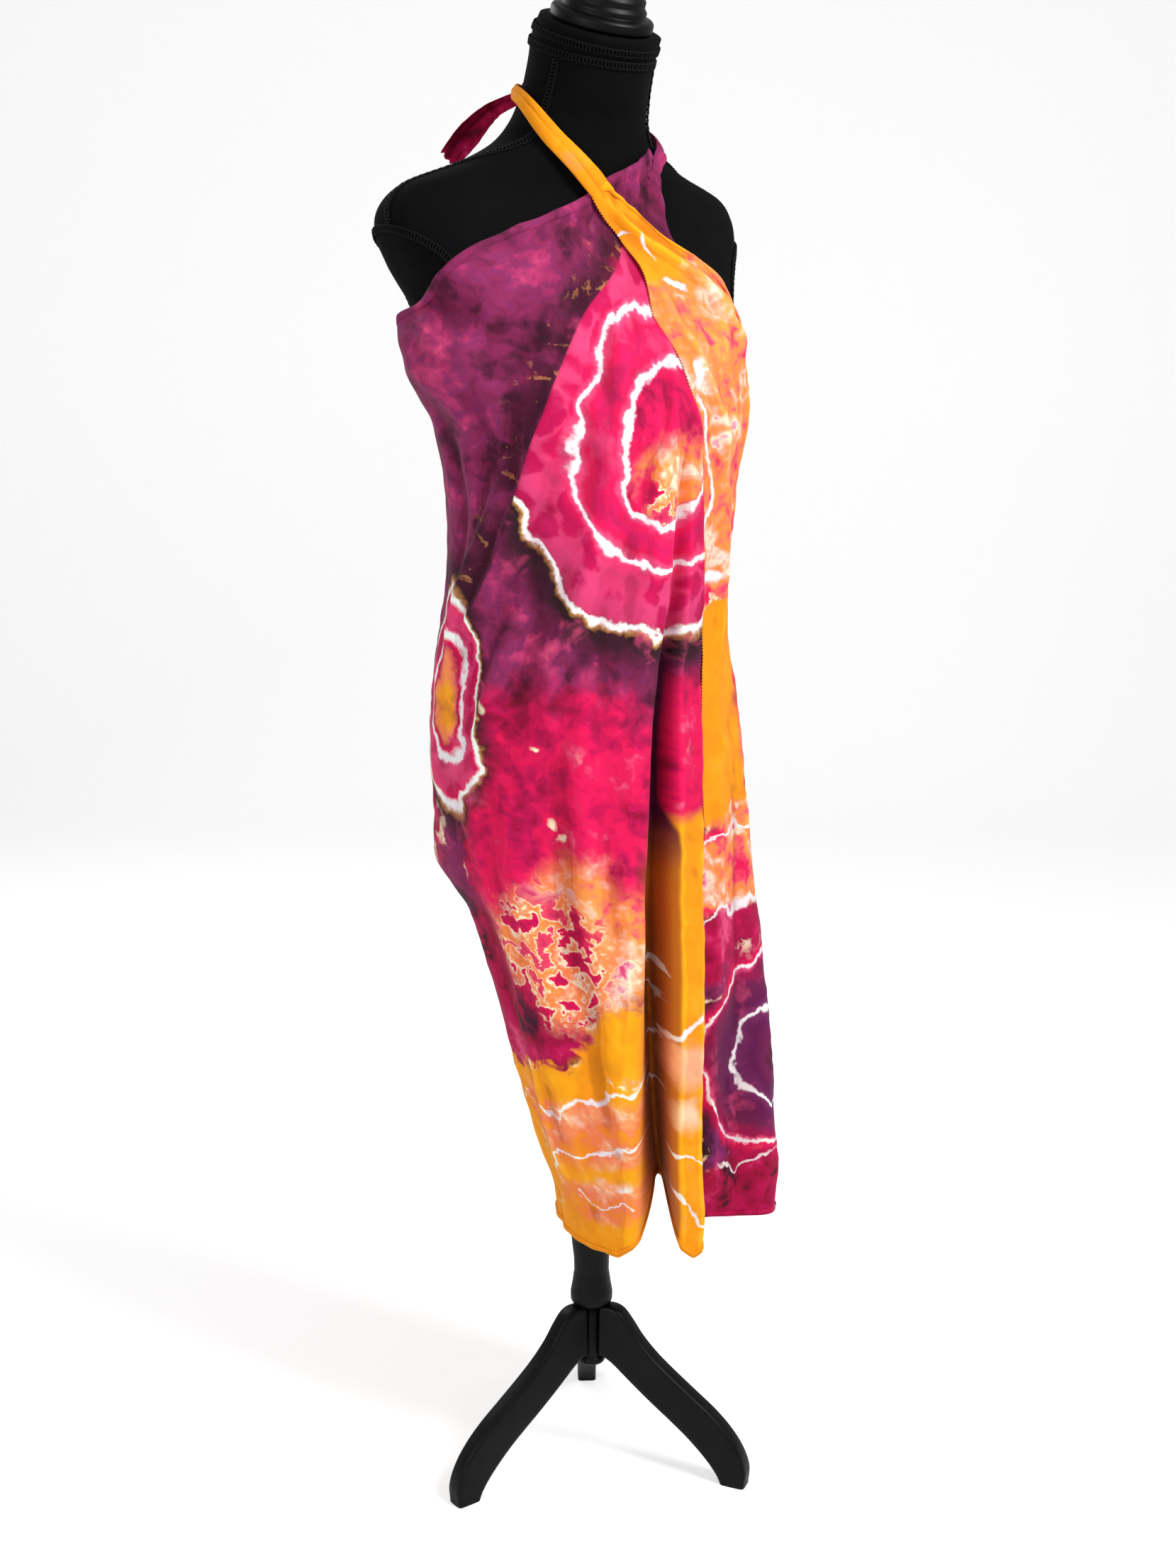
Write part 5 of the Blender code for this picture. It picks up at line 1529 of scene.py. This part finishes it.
@dataclass
class SarongPanels:
    """The wrapped sheet: under front, over front and back, with their hems."""

    shape: WrapShape = field(default_factory=WrapShape)
    hem_width: float = 0.0100
    hem_wall: float = 0.0015
    roll: float = 0.0032
    # Relief round the top hem's and rolled hem's rings: painted shade where below 0, painted highlight where
    # above 0
    hem_relief: tuple[float, ...] = (-0.3, 0.2, -1.0, 0.5, 0.9, 0.9, 0.6, 0.0, 0.0, 0.0, 0.0, -0.3)
    roll_relief: tuple[float, ...] = (
        0.3, 0.6, 0.6, 0.3, -0.2, -0.7, -0.9, -0.7, -0.4, -0.9, -0.7, -0.2,
    )

    def build(self, dyed: bpy.types.Material) -> None:
        """Builds the three panels and their hems.

        Args:
            dyed: the sheet's finish.
        """
        for name, panel in (
            ("under_front", self.shape.under_panel()),
            ("over_front", self.shape.over_panel()),
            ("back", self.shape.back_panel()),
        ):
            sheet = thicken(grid_object(f"{name}_cloth", panel.points, dyed, panel.maps), CLOTH_WALL)
            stand_in(sheet, f"sarong_{name}")
            hems = self.hems(name, panel, dyed)

    @staticmethod
    def area(points: np.ndarray) -> float:
        """Area of a grid of points."""
        diagonals = points[1:, 1:] - points[:-1, :-1], points[:-1, 1:] - points[1:, :-1]
        return float(np.linalg.norm(np.cross(*diagonals), axis=-1).sum() / 2)

    def hems(self, name: str, panel: Panel, dyed: bpy.types.Material) -> list[bpy.types.Object]:
        """Folded hem along the top, rolled hem along the foot and an overlocked free edge.

        Only the over front has the overlocked edge, and its top hem starts thin where the edge is
        drawn into the strap.

        Args:
            name: panel name.
            panel: the panel.
            dyed: finish.

        Returns:
            The hem pieces.
        """
        top, facing = panel.points[:, -1], panel.facing[:, -2]
        down = unit(panel.points[:, -4] - top)
        wall, reach = self.hem_wall, self.hem_width
        ring = np.array([
            (reach, 0.35 * wall), (reach * 0.93, 0.85 * wall), (reach * 0.86, 0.55 * wall),
            (reach * 0.78, 0.9 * wall), (reach * 0.4, wall), (reach * 0.08, 0.9 * wall),
            (-0.0005, 0.3 * wall), (-0.0005, -0.3 * wall), (reach * 0.08, -0.9 * wall),
            (reach * 0.5, -wall), (reach * 0.9, -0.8 * wall), (reach, -0.35 * wall),
        ])
        grow = np.ones(len(top))
        if name == "over_front":
            grow = 0.12 + 0.88 * ease(np.arange(len(top)) / len(top) / 0.25)
        fold = down[:, None] * ring[None, :, :1] + facing[:, None] * ring[None, :, 1:]
        fold = top[:, None] + fold * grow[:, None, None]
        pieces = [self.edge(f"{name}_top_hem", fold, panel, -1, ring[:, 0], self.hem_relief, dyed)]
        foot, facing = panel.points[:, 0], panel.facing[:, 1]
        rolled = sweep(foot, facing, circle(self.roll, 12) * np.array([1.0, 0.72]))
        flat = np.zeros(12)
        pieces.append(self.edge(f"{name}_rolled_hem", rolled, panel, 0, flat, self.roll_relief, dyed))
        if name == "over_front":
            pieces.append(self.overlock(panel, dyed))
        return pieces

    @staticmethod
    def edge(
        name: str, rings: np.ndarray, panel: Panel, row: int, drop: np.ndarray, relief: Sequence[float],
        dyed: bpy.types.Material,
    ) -> bpy.types.Object:
        """One hem tube, mapped so that the dye runs on from the panel.

        Args:
            name: object name.
            rings: points (n, m, 3) of the tube, one ring for each column of the panel.
            panel: the panel.
            row: the panel's row that the hem follows.
            drop: how far each point of a ring lies below that row on the cloth map.
            relief: relief of each point of a ring, as in the panel's map.
            dyed: finish.

        Returns:
            The hem.
        """
        places = np.repeat(panel.maps["cloth"][:, row][:, None], rings.shape[1] + 1, 1)
        places[:, :, 1] -= np.append(drop, drop[:1])
        folds = np.repeat(panel.maps["panel"][:, row][:, None], rings.shape[1] + 1, 1)
        # The relief map paints shade and highlight round the tube
        stands = np.zeros_like(folds)
        stands[:, :, 0] = np.append(relief, relief[:1])
        maps = {"cloth": places, "panel": folds, "relief": stands}
        return grid_object(name, rings, dyed, maps, wrap=(False, True), caps=True)

    def overlock(self, panel: Panel, dyed: bpy.types.Material) -> bpy.types.Object:
        """The fine scalloped stitching that binds the over front's free edge: a cord on a sine."""
        line = panel.points[0, 2:]
        run = run_along(line)
        place = np.linspace(0, run[-1], int(run[-1] / 0.0005))
        base = np.stack([np.interp(place, run, line[:, k]) for k in range(3)], -1)
        out = np.stack([np.interp(place, run, panel.facing[0, 2:, k]) for k in range(3)], -1)
        across, out = frames(base, out)
        cord = base + across * (0.0009 * np.sin(place * 2 * np.pi / 0.0032))[:, None]
        tube = sweep(cord, out, circle(0.00055, 6))
        maps = {}
        for title, values in panel.maps.items():
            rows = np.stack([np.interp(place, run, values[0, 2:, k]) for k in range(2)], -1)
            maps[title] = np.repeat(rows[:, None], 7, 1)
        return grid_object("over_front_overlock", tube, dyed, maps, wrap=(False, True), caps=True)


@dataclass
class HalterTie:
    """The sheet's two rolled corners, knotted behind the neck, and their loose tails."""

    form: FormShape = field(default_factory=FormShape)
    over_path: Rows = (
        (14.0, 1.2980, 0.0080, 0.0150, 0.0024), (2.0, 1.3215, 0.0094, 0.0215, 0.0042),
        (-7.3, 1.3335, 0.0095, 0.0230, 0.0058), (-20.0, 1.3465, 0.0080, 0.0215, 0.0068),
        (-43.0, 1.3695, 0.0066, 0.0195, 0.0074), (-71.0, 1.3980, 0.0058, 0.0170, 0.0074),
        (-95.0, 1.4120, 0.0056, 0.0150, 0.0072), (-125.0, 1.4160, 0.0056, 0.0150, 0.0070),
        (-145.0, 1.4155, 0.0058, 0.0140, 0.0070), (-169.0, 1.4150, 0.0064, 0.0120, 0.0070),
    )
    under_path: Rows = (
        (44.0, 1.3400, 0.0046, 0.0130, 0.0024), (50.0, 1.3515, 0.0052, 0.0150, 0.0034),
        (54.5, 1.3600, 0.0056, 0.0165, 0.0048), (66.0, 1.3690, 0.0064, 0.0170, 0.0064),
        (84.0, 1.3820, 0.0074, 0.0160, 0.0070), (108.0, 1.3960, 0.0070, 0.0155, 0.0070),
        (134.0, 1.4080, 0.0060, 0.0140, 0.0070), (164.1, 1.4150, 0.0060, 0.0120, 0.0070),
    )
    grooves: Rows = ((0.9, 0.34, 0.15), (2.0, 0.26, 0.20), (4.3, 0.20, 0.22), (5.4, 0.12, 0.14))
    knot_height: float = 1.415
    knot_clear: float = 0.0167
    knot_scale: float = 0.0066
    knot_radius: float = 0.0053
    tail_right: Rows = (
        (-0.0194, 0.0952, 1.4260, 0.011, 0.0030), (-0.0380, 0.1110, 1.4160, 0.014, 0.0040),
        (-0.0520, 0.1140, 1.4060, 0.019, 0.0055), (-0.0735, 0.1150, 1.3850, 0.025, 0.0065),
        (-0.0940, 0.1130, 1.3640, 0.021, 0.0050),
    )
    tail_left: Rows = (
        (0.0099, 0.0904, 1.4276, 0.011, 0.0030), (0.0480, 0.1110, 1.4180, 0.015, 0.0040),
        (0.0740, 0.1060, 1.4090, 0.020, 0.0055), (0.0980, 0.0960, 1.4010, 0.022, 0.0055),
        (0.1180, 0.0860, 1.3950, 0.018, 0.0040),
    )

    def build(
        self,
        orange: bpy.types.Material,
        plum: bpy.types.Material,
        magenta: bpy.types.Material,
        coral: bpy.types.Material,
    ) -> None:
        """Builds the straps, knot and tails.

        Args:
            orange, plum, magenta, coral: finishes of the over strap, under strap, knot and left tail.
        """
        over = self.strap("over_strap", self.over_path, orange, 0.4)
        under = self.strap("under_strap", self.under_path, plum, 1.9)
        stand_in(over, "sarong_strap_over")
        stand_in(under, "sarong_strap_under")
        knot = self.knot(magenta)
        stand_in(knot, "sarong_knot")
        right = self.tail("right_tail", self.tail_right, magenta, 3)
        left = self.tail("left_tail", self.tail_left, coral, 8)
        stand_in(right, "sarong_tail_right")
        stand_in(left, "sarong_tail_left")

    def strap(self, name: str, rows: Rows, finish: bpy.types.Material, twist: float) -> bpy.types.Object:
        """A flattened roll of cloth with soft folds that wind slowly along it.

        The outline is an oval whose reach is cut by four narrow grooves that turn with the length.

        Args:
            name: object name.
            rows: azimuth, height, distance off the form, width and thickness.
            finish: material.
            twist: start angle of the folds.

        Returns:
            The strap.
        """
        count, sides = 150, 56
        path = along_path(rows, count)
        azimuth, height = np.radians(path[:, 0]), path[:, 1]
        line = self.form.point(azimuth, height, path[:, 2])
        out = self.form.facing(azimuth, height, path[:, 2])
        run = run_along(line)
        turn = np.arange(sides)[None] * 2 * np.pi / sides
        wind = twist + run[:, None] * 14.0
        cut = np.ones((count, sides))
        for offset, depth, width in self.grooves:
            away = np.angle(np.exp(1j * (turn - wind * 0.35 - offset)))
            cut -= depth * np.exp(-((away / width) ** 2))
        cut += 0.03 * np.sin(3 * turn + run[:, None] * 60.0)
        oval = np.stack([np.cos(turn) * cut * path[:, 3:4] / 2, -np.sin(turn) * cut * path[:, 4:5] / 2], -1)
        points = sweep(line, out, oval)
        around = np.linspace(0, 1, sides + 1)[None] * 0.045
        cloth = np.stack(np.broadcast_arrays(around, run[:, None] + twist), -1)
        # Groove depth as the relief map: painted shade in the grooves, faint painted highlight on the rolls
        depth = np.clip((np.hstack([cut, cut[:, :1]]) - 0.95) / 0.16, -1.0, 0.2)
        maps = {"cloth": cloth, "relief": np.stack([depth, np.zeros_like(depth)], -1)}
        return grid_object(name, points, finish, maps, wrap=(False, True), caps=True)

    def knot(self, finish: bpy.types.Material) -> bpy.types.Object:
        """One closed loop of rolled cloth wound as an overhand knot, with shallow folds along it."""
        middle = self.form.point(np.radians(180.0), np.array(self.knot_height), self.knot_clear)
        t = np.arange(220) * 2 * np.pi / 220
        loop = [np.sin(t) + 2 * np.sin(2 * t), -1.1 * np.sin(3 * t), np.cos(t) - 2 * np.cos(2 * t)]
        line = middle + np.stack(loop, -1) * self.knot_scale
        turn = np.arange(28)[None] * 2 * np.pi / 28
        broad, narrow = np.cos(4 * turn + 2 * t[:, None]), np.cos(7 * turn - 3 * t[:, None])
        fold = self.knot_radius * (1 + 0.07 * broad + 0.05 * narrow)
        oval = np.stack([np.cos(turn) * fold, -np.sin(turn) * fold], -1)
        points = sweep(line, np.array([0.0, 1.0, 0.0]), oval, True)
        around, along = np.linspace(0, 0.033, 29)[None], np.linspace(0, 0.16, 221)[:, None]
        cloth = np.stack(np.broadcast_arrays(around, along), -1)
        return grid_object("knot", points, finish, {"cloth": cloth}, wrap=(True, True))

    def tail(self, name: str, rows: Rows, finish: bpy.types.Material, seed: int) -> bpy.types.Object:
        """A curled strip of single cloth with a crumpled, uneven end.

        Args:
            name: object name.
            rows: points down the middle, then width and curl depth.
            finish: material.
            seed: seed of the crumple.

        Returns:
            The tail.
        """
        steps, columns = 80, 31
        path = along_path(rows, steps)
        line = path[:, :3]
        across, out = frames(line, np.array([0.0, 1.0, 0.0]))
        place = np.linspace(-1, 1, columns)
        wide = path[:, 3:4] / 2 * np.sin(place * 1.25) / np.sin(1.25)
        along = np.linspace(0, 0.12, steps)[:, None]
        spread = np.broadcast_to(along, (steps, columns))
        crumple = 0.0011 * ripples(spread, wide * 1.5, seed, 0.03, 0.008) * ease(along / 0.03)
        deep = path[:, 4:5] * (1 - place**2) * (1 + 0.3 * np.cos(place * 6)) + crumple
        points = line[:, None] + across[:, None] * wide[..., None] + out[:, None] * deep[..., None]
        ragged = 0.0016 * ripples(place * 0.02, place * 0 + seed, seed, 0.012, 0.004)
        ahead = unit(line[-1] - line[-2])
        points = points + ahead * (ease((along - 0.10) / 0.02) * ragged)[..., None]
        cloth = np.stack(np.broadcast_arrays(wide, along + seed), -1)
        return thicken(grid_object(name, points, finish, {"cloth": cloth}), CLOTH_WALL)


# Dyes

BIG_RINGS = (
    (0.000, PINK, 0.0), (0.252, PINK, 0.0), (0.260, ROSE, 1.0), (0.268, WHITE), (0.285, WHITE),
    (0.296, ROSE), (0.318, PINK), (0.370, (0.60, 0.006, 0.10)), (0.420, PINK), (0.452, ROSE),
    (0.461, WHITE), (0.478, WHITE), (0.489, ROSE), (0.515, PINK), (0.560, MAGENTA),
    (0.600, (0.60, 0.004, 0.085)), (0.650, (0.50, 0.012, 0.11)), (0.712, CRIMSON), (0.723, WHITE),
    (0.735, WHITE), (0.748, GOLD), (0.764, SOOT), (0.800, SOOT, 0.92), (0.880, WINE, 0.45),
    (1.000, WINE, 0.0),
)
HIP_RINGS = (
    (0.00, ORANGE, 0.95), (0.18, ORANGE, 0.95), (0.30, CORAL, 1.0), (0.36, MAGENTA), (0.40, PINK),
    (0.44, WHITE), (0.475, WHITE), (0.50, ROSE), (0.60, MAGENTA), (0.72, PINK), (0.755, WHITE),
    (0.78, WHITE), (0.81, GOLD), (0.85, SOOT, 0.9), (1.0, WINE, 0.0),
)
NIGHT_RINGS = (
    (0.00, SOOT), (0.14, PLUM), (0.28, (0.11, 0.006, 0.07)), (0.385, VIOLET), (0.400, WHITE), (0.422, WHITE),
    (0.438, VIOLET), (0.52, (0.12, 0.006, 0.07)), (0.66, PLUM), (0.78, (0.33, 0.004, 0.07)), (0.812, ROSE),
    (0.824, WHITE), (0.842, WHITE), (0.858, PINK), (0.92, MAGENTA, 0.8), (1.0, MAGENTA, 0.0),
)
SHEET = DyedRayon(
    name="tie_dyed_rayon",
    ground=Palette.PLUM_CLOUD,
    folds=True,
    pours=(
        Pour(-48, 0.745, 76, 0.122, Palette.PINK_CLOUD, 0.2),
        Pour(-106, 0.680, 20, 0.150, Palette.PLUM_CLOUD),
        Pour(-40, 0.620, 24, 0.076, Palette.MIXED, 0.3),
        Pour(-82, 0.545, 36, 0.100, Palette.MAGENTA_CLOUD, 0.2),
        Pour(-59, 0.605, 24, 0.064, Palette.MARBLE, 0.3),
        Pour(-36, 0.450, 32, 0.100, Palette.ORANGE_WASH, 0.08),
        Pour(-64, 0.360, 66, 0.135, Palette.ORANGE_WASH, 0.05),
        Pour(-62, 0.425, 60, 0.036, Palette.CORAL_WASH, 0.25),
        Pour(-66, 0.345, 34, 0.024, Palette.CORAL_WASH, 0.25),
        Pour(6, 1.088, 42, 0.100, Palette.PINK_CLOUD),
        Pour(10, 1.058, 24, 0.040, Palette.MIXED, 0.3),
        Pour(2, 1.042, 8, 0.020, Palette.MARBLE, 0.3),
        Pour(14, 1.215, 26, 0.060, Palette.PINK_CLOUD, 0.2),
        Pour(-178, 0.735, 76, 0.125, Palette.PINK_CLOUD),
        Pour(-165, 0.600, 52, 0.070, Palette.MARBLE),
        Pour(-205, 0.640, 26, 0.080, Palette.MAGENTA_CLOUD),
        Pour(-172, 0.385, 76, 0.150, Palette.ORANGE_WASH, 0.05),
        Pour(-180, 0.420, 60, 0.034, Palette.CORAL_WASH, 0.25),
        Pour(-250, 1.020, 26, 0.200, Palette.MAGENTA_CLOUD, 0.2),
        Pour(-318, 1.090, 52, 0.200, Palette.MIXED, 0.08),
        Pour(-345, 1.320, 46, 0.062, Palette.ORANGE_WASH, 0.15),
        Pour(-350, 1.275, 24, 0.040, Palette.ORANGE_WASH, 0.2),
        Pour(-283, 1.080, 13, 0.095, Palette.ORANGE_WASH, 0.2),
        Pour(-318, 0.825, 40, 0.112, Palette.ORANGE_WASH, 0.08),
        Pour(-272, 0.800, 30, 0.160, Palette.PINK_CLOUD, 0.2),
        Pour(-312, 0.672, 44, 0.055, Palette.MIXED, 0.12),
        Pour(-318, 0.595, 52, 0.030, Palette.MAGENTA_CLOUD, 0.2),
        Pour(-300, 0.430, 62, 0.150, Palette.NIGHT, 0.08),
        Pour(-300, 0.325, 66, 0.044, Palette.MAGENTA_CLOUD, 0.1),
    ),
    medallions=(
        Medallion(4.6, 1.088, 66.8, 0.198, 0.176, 1.35, BIG_RINGS, pleated=True),
        Medallion(-91, 0.845, 19.9, 0.107, 0.107, 1.30, HIP_RINGS),
        Medallion(-178, 0.985, 44.0, 0.130, 0.120, 1.35, BIG_RINGS),
        Medallion(-302, 0.467, 45.8, 0.100, 0.100, 1.20, NIGHT_RINGS, blobs=False),
    ),
    lines=(
        (0.446, 0.475, -62.6, 0.0024, 0.085), (0.3825, 0.4145, -66.5, 0.0019, 0.080),
        (0.455, 0.440, -175.0, 0.0020, 0.120), (0.385, 0.372, -175.0, 0.0019, 0.130),
        (0.618, 0.630, -318.0, 0.0026, 0.100), (0.700, 0.712, -318.0, 0.0016, 0.070),
        (0.352, 0.348, -300.0, 0.0018, 0.120),
        (0.490, 0.560, -9.0, 0.0042, 0.024), (0.410, 0.384, -17.0, 0.0014, 0.026),
        (0.385, 0.305, -21.0, 0.0014, 0.030), (0.590, 0.580, -17.0, 0.0012, 0.016),
        (0.555, 0.548, -19.0, 0.0014, 0.016), (0.512, 0.500, -23.0, 0.0014, 0.016),
        (0.455, 0.444, -27.0, 0.0013, 0.016), (0.360, 0.330, -62.0, 0.0013, 0.040),
    ),
    flecks=(
        Streak(-10, 0.490, 10, 0.020, PEACH, 0.5), Streak(-14, 0.440, 4, 0.015, (0.93, 0.60, 0.40), 0.8),
        Streak(-336, 1.245, 3.0, 0.004), Streak(-352, 1.288, 5, 0.0020), Streak(-340, 1.276, 1.2, 0.010),
        Streak(-67, 0.852, 1.5, 0.004, CREAM, 0.5), Streak(-53, 0.818, 2.0, 0.003, CREAM, 0.5),
        Streak(-49, 0.735, 1.6, 0.004, CREAM, 0.5), Streak(-47, 0.720, 2.2, 0.004, CREAM, 0.5),
        Streak(-331, 1.150, 2.0, 0.018), Streak(-333, 1.095, 1.1, 0.036), Streak(-332, 1.035, 1.3, 0.028),
        Streak(-326, 0.960, 7, 0.006),
    ),
)
TIE_DYES = (
    DyedRayon(name="orange_rayon", ground=Palette.ORANGE_WASH),
    DyedRayon(name="plum_rayon", ground=Palette.PLUM_CLOUD),
    DyedRayon(name="magenta_rayon", ground=Palette.MAGENTA_CLOUD),
    DyedRayon(name="coral_rayon", ground=Palette.CORAL_WASH),
)


# Studio


@dataclass
class Studio:
    """A pale seamless sweep, a soft key light above the camera's right, and the camera.

    Each lamp has a name, its distance ahead of the camera's bearing, to the right and up from the
    floor's middle, its size and its power.
    """

    place: tuple[float, float, float] = (-1.0306, -1.6562, 1.153)
    bearing: float = 32.0
    pitch: float = 11.7
    lens: float = 45.0
    picture: tuple[int, int] = (1659, 2212)
    pole_column: float = 834.5
    film_height: float = 36.0
    pale: Colour = (0.90, 0.90, 0.90)
    glow: float = 0.42
    ambient: float = 0.36
    lamps: tuple[tuple[str, float, float, float, float, float], ...] = (
        ("key", -1.2, 1.6, 2.6, 0.9, 66.0),
        ("fill", -2.2, -1.5, 1.5, 1.4, 24.0),
        ("rim", 1.7, -1.6, 2.2, 1.4, 14.0),
    )
    lit_height: float = 0.8

    def build(self) -> None:
        """Builds the sweep, the lights and the camera."""
        self.sweep()
        world = bpy.data.worlds.new("studio")
        world.use_nodes = True
        world.node_tree.nodes["Background"].inputs[0].default_value = (1.0, 1.0, 1.0, 1.0)
        world.node_tree.nodes["Background"].inputs[1].default_value = self.ambient
        bpy.context.scene.world = world
        bpy.context.scene.view_settings.view_transform = "Standard"
        ahead, right = self.directions()
        for name, forth, aside, up, size, power in self.lamps:
            off = forth * ahead + aside * right + [0, 0, up]
            light = bpy.data.lights.new(name, "AREA")
            light.size = size
            light.energy = power
            lamp = bpy.data.objects.new(name, light)
            bpy.context.scene.collection.objects.link(lamp)
            lamp.location = off
            lamp.rotation_euler = self.aimed(np.array([0.0, 0.0, self.lit_height]) - off)
        camera = bpy.data.cameras.new("camera")
        camera.lens = self.lens
        camera.sensor_fit = "VERTICAL"
        camera.sensor_height = self.film_height
        camera.shift_x = (self.picture[0] / 2 - self.pole_column) / self.picture[1]
        eye = bpy.data.objects.new("camera", camera)
        bpy.context.scene.collection.objects.link(eye)
        eye.location = self.place
        eye.rotation_euler = (np.radians(90.0 - self.pitch), 0.0, -np.radians(self.bearing))
        bpy.context.scene.camera = eye

    def directions(self) -> tuple[np.ndarray, np.ndarray]:
        """Level unit vectors ahead of the camera and to its right."""
        turn = np.radians(self.bearing)
        return np.array([np.sin(turn), np.cos(turn), 0.0]), np.array([np.cos(turn), -np.sin(turn), 0.0])

    @staticmethod
    def aimed(aim: np.ndarray) -> tuple[float, float, float]:
        """Turn that points a lamp's -Z along aim."""
        flat = np.hypot(aim[0], aim[1])
        return (float(np.arctan2(flat, -aim[2])), 0.0, float(np.arctan2(-aim[0], aim[1])))

    def sweep(self) -> None:
        """A floor that curves up into a wall behind, turned to face the camera.

        Only the camera sees its glow.
        """
        ahead, right = self.directions()
        bend = np.linspace(0, np.pi / 2, 16)
        run = np.concatenate([[-6.0], 3.0 + 1.2 * np.sin(bend), [4.2]])
        rise = np.concatenate([[0.0], 1.2 * (1 - np.cos(bend)), [6.0]])
        line = ahead * run[:, None] + np.array([0, 0, 1.0]) * rise[:, None]
        points = line[:, None] + right * np.linspace(-7, 7, 3)[None, :, None] - SHIFT
        paper, g, shader = new_material("pale_paper", Roughness=0.95)
        shader.inputs["Base Color"].default_value = (*self.pale, 1.0)
        shader.inputs["Emission Color"].default_value = (1.0, 1.0, 1.0, 1.0)
        seen = g.node("ShaderNodeLightPath").outputs["Is Camera Ray"]
        g.tree.links.new(g.math("MULTIPLY", seen, self.glow), shader.inputs["Emission Strength"])
        grid_object("seamless_paper", points, paper, rides=False)


def main() -> None:
    """Builds every piece in order."""
    logging.basicConfig(level=logging.INFO, format="%(name)s: %(message)s")
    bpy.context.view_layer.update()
    fx = Effects()
    lacquer = Lacquer().material()
    DressForm().build(Jersey().material(), Gimp().material(), lacquer)
    Stand().build(lacquer)
    SarongPanels().build(SHEET.material(fx))
    HalterTie().build(*(dye.material(fx) for dye in TIE_DYES))
    Studio().build()


if __name__ == "__main__":
    main()
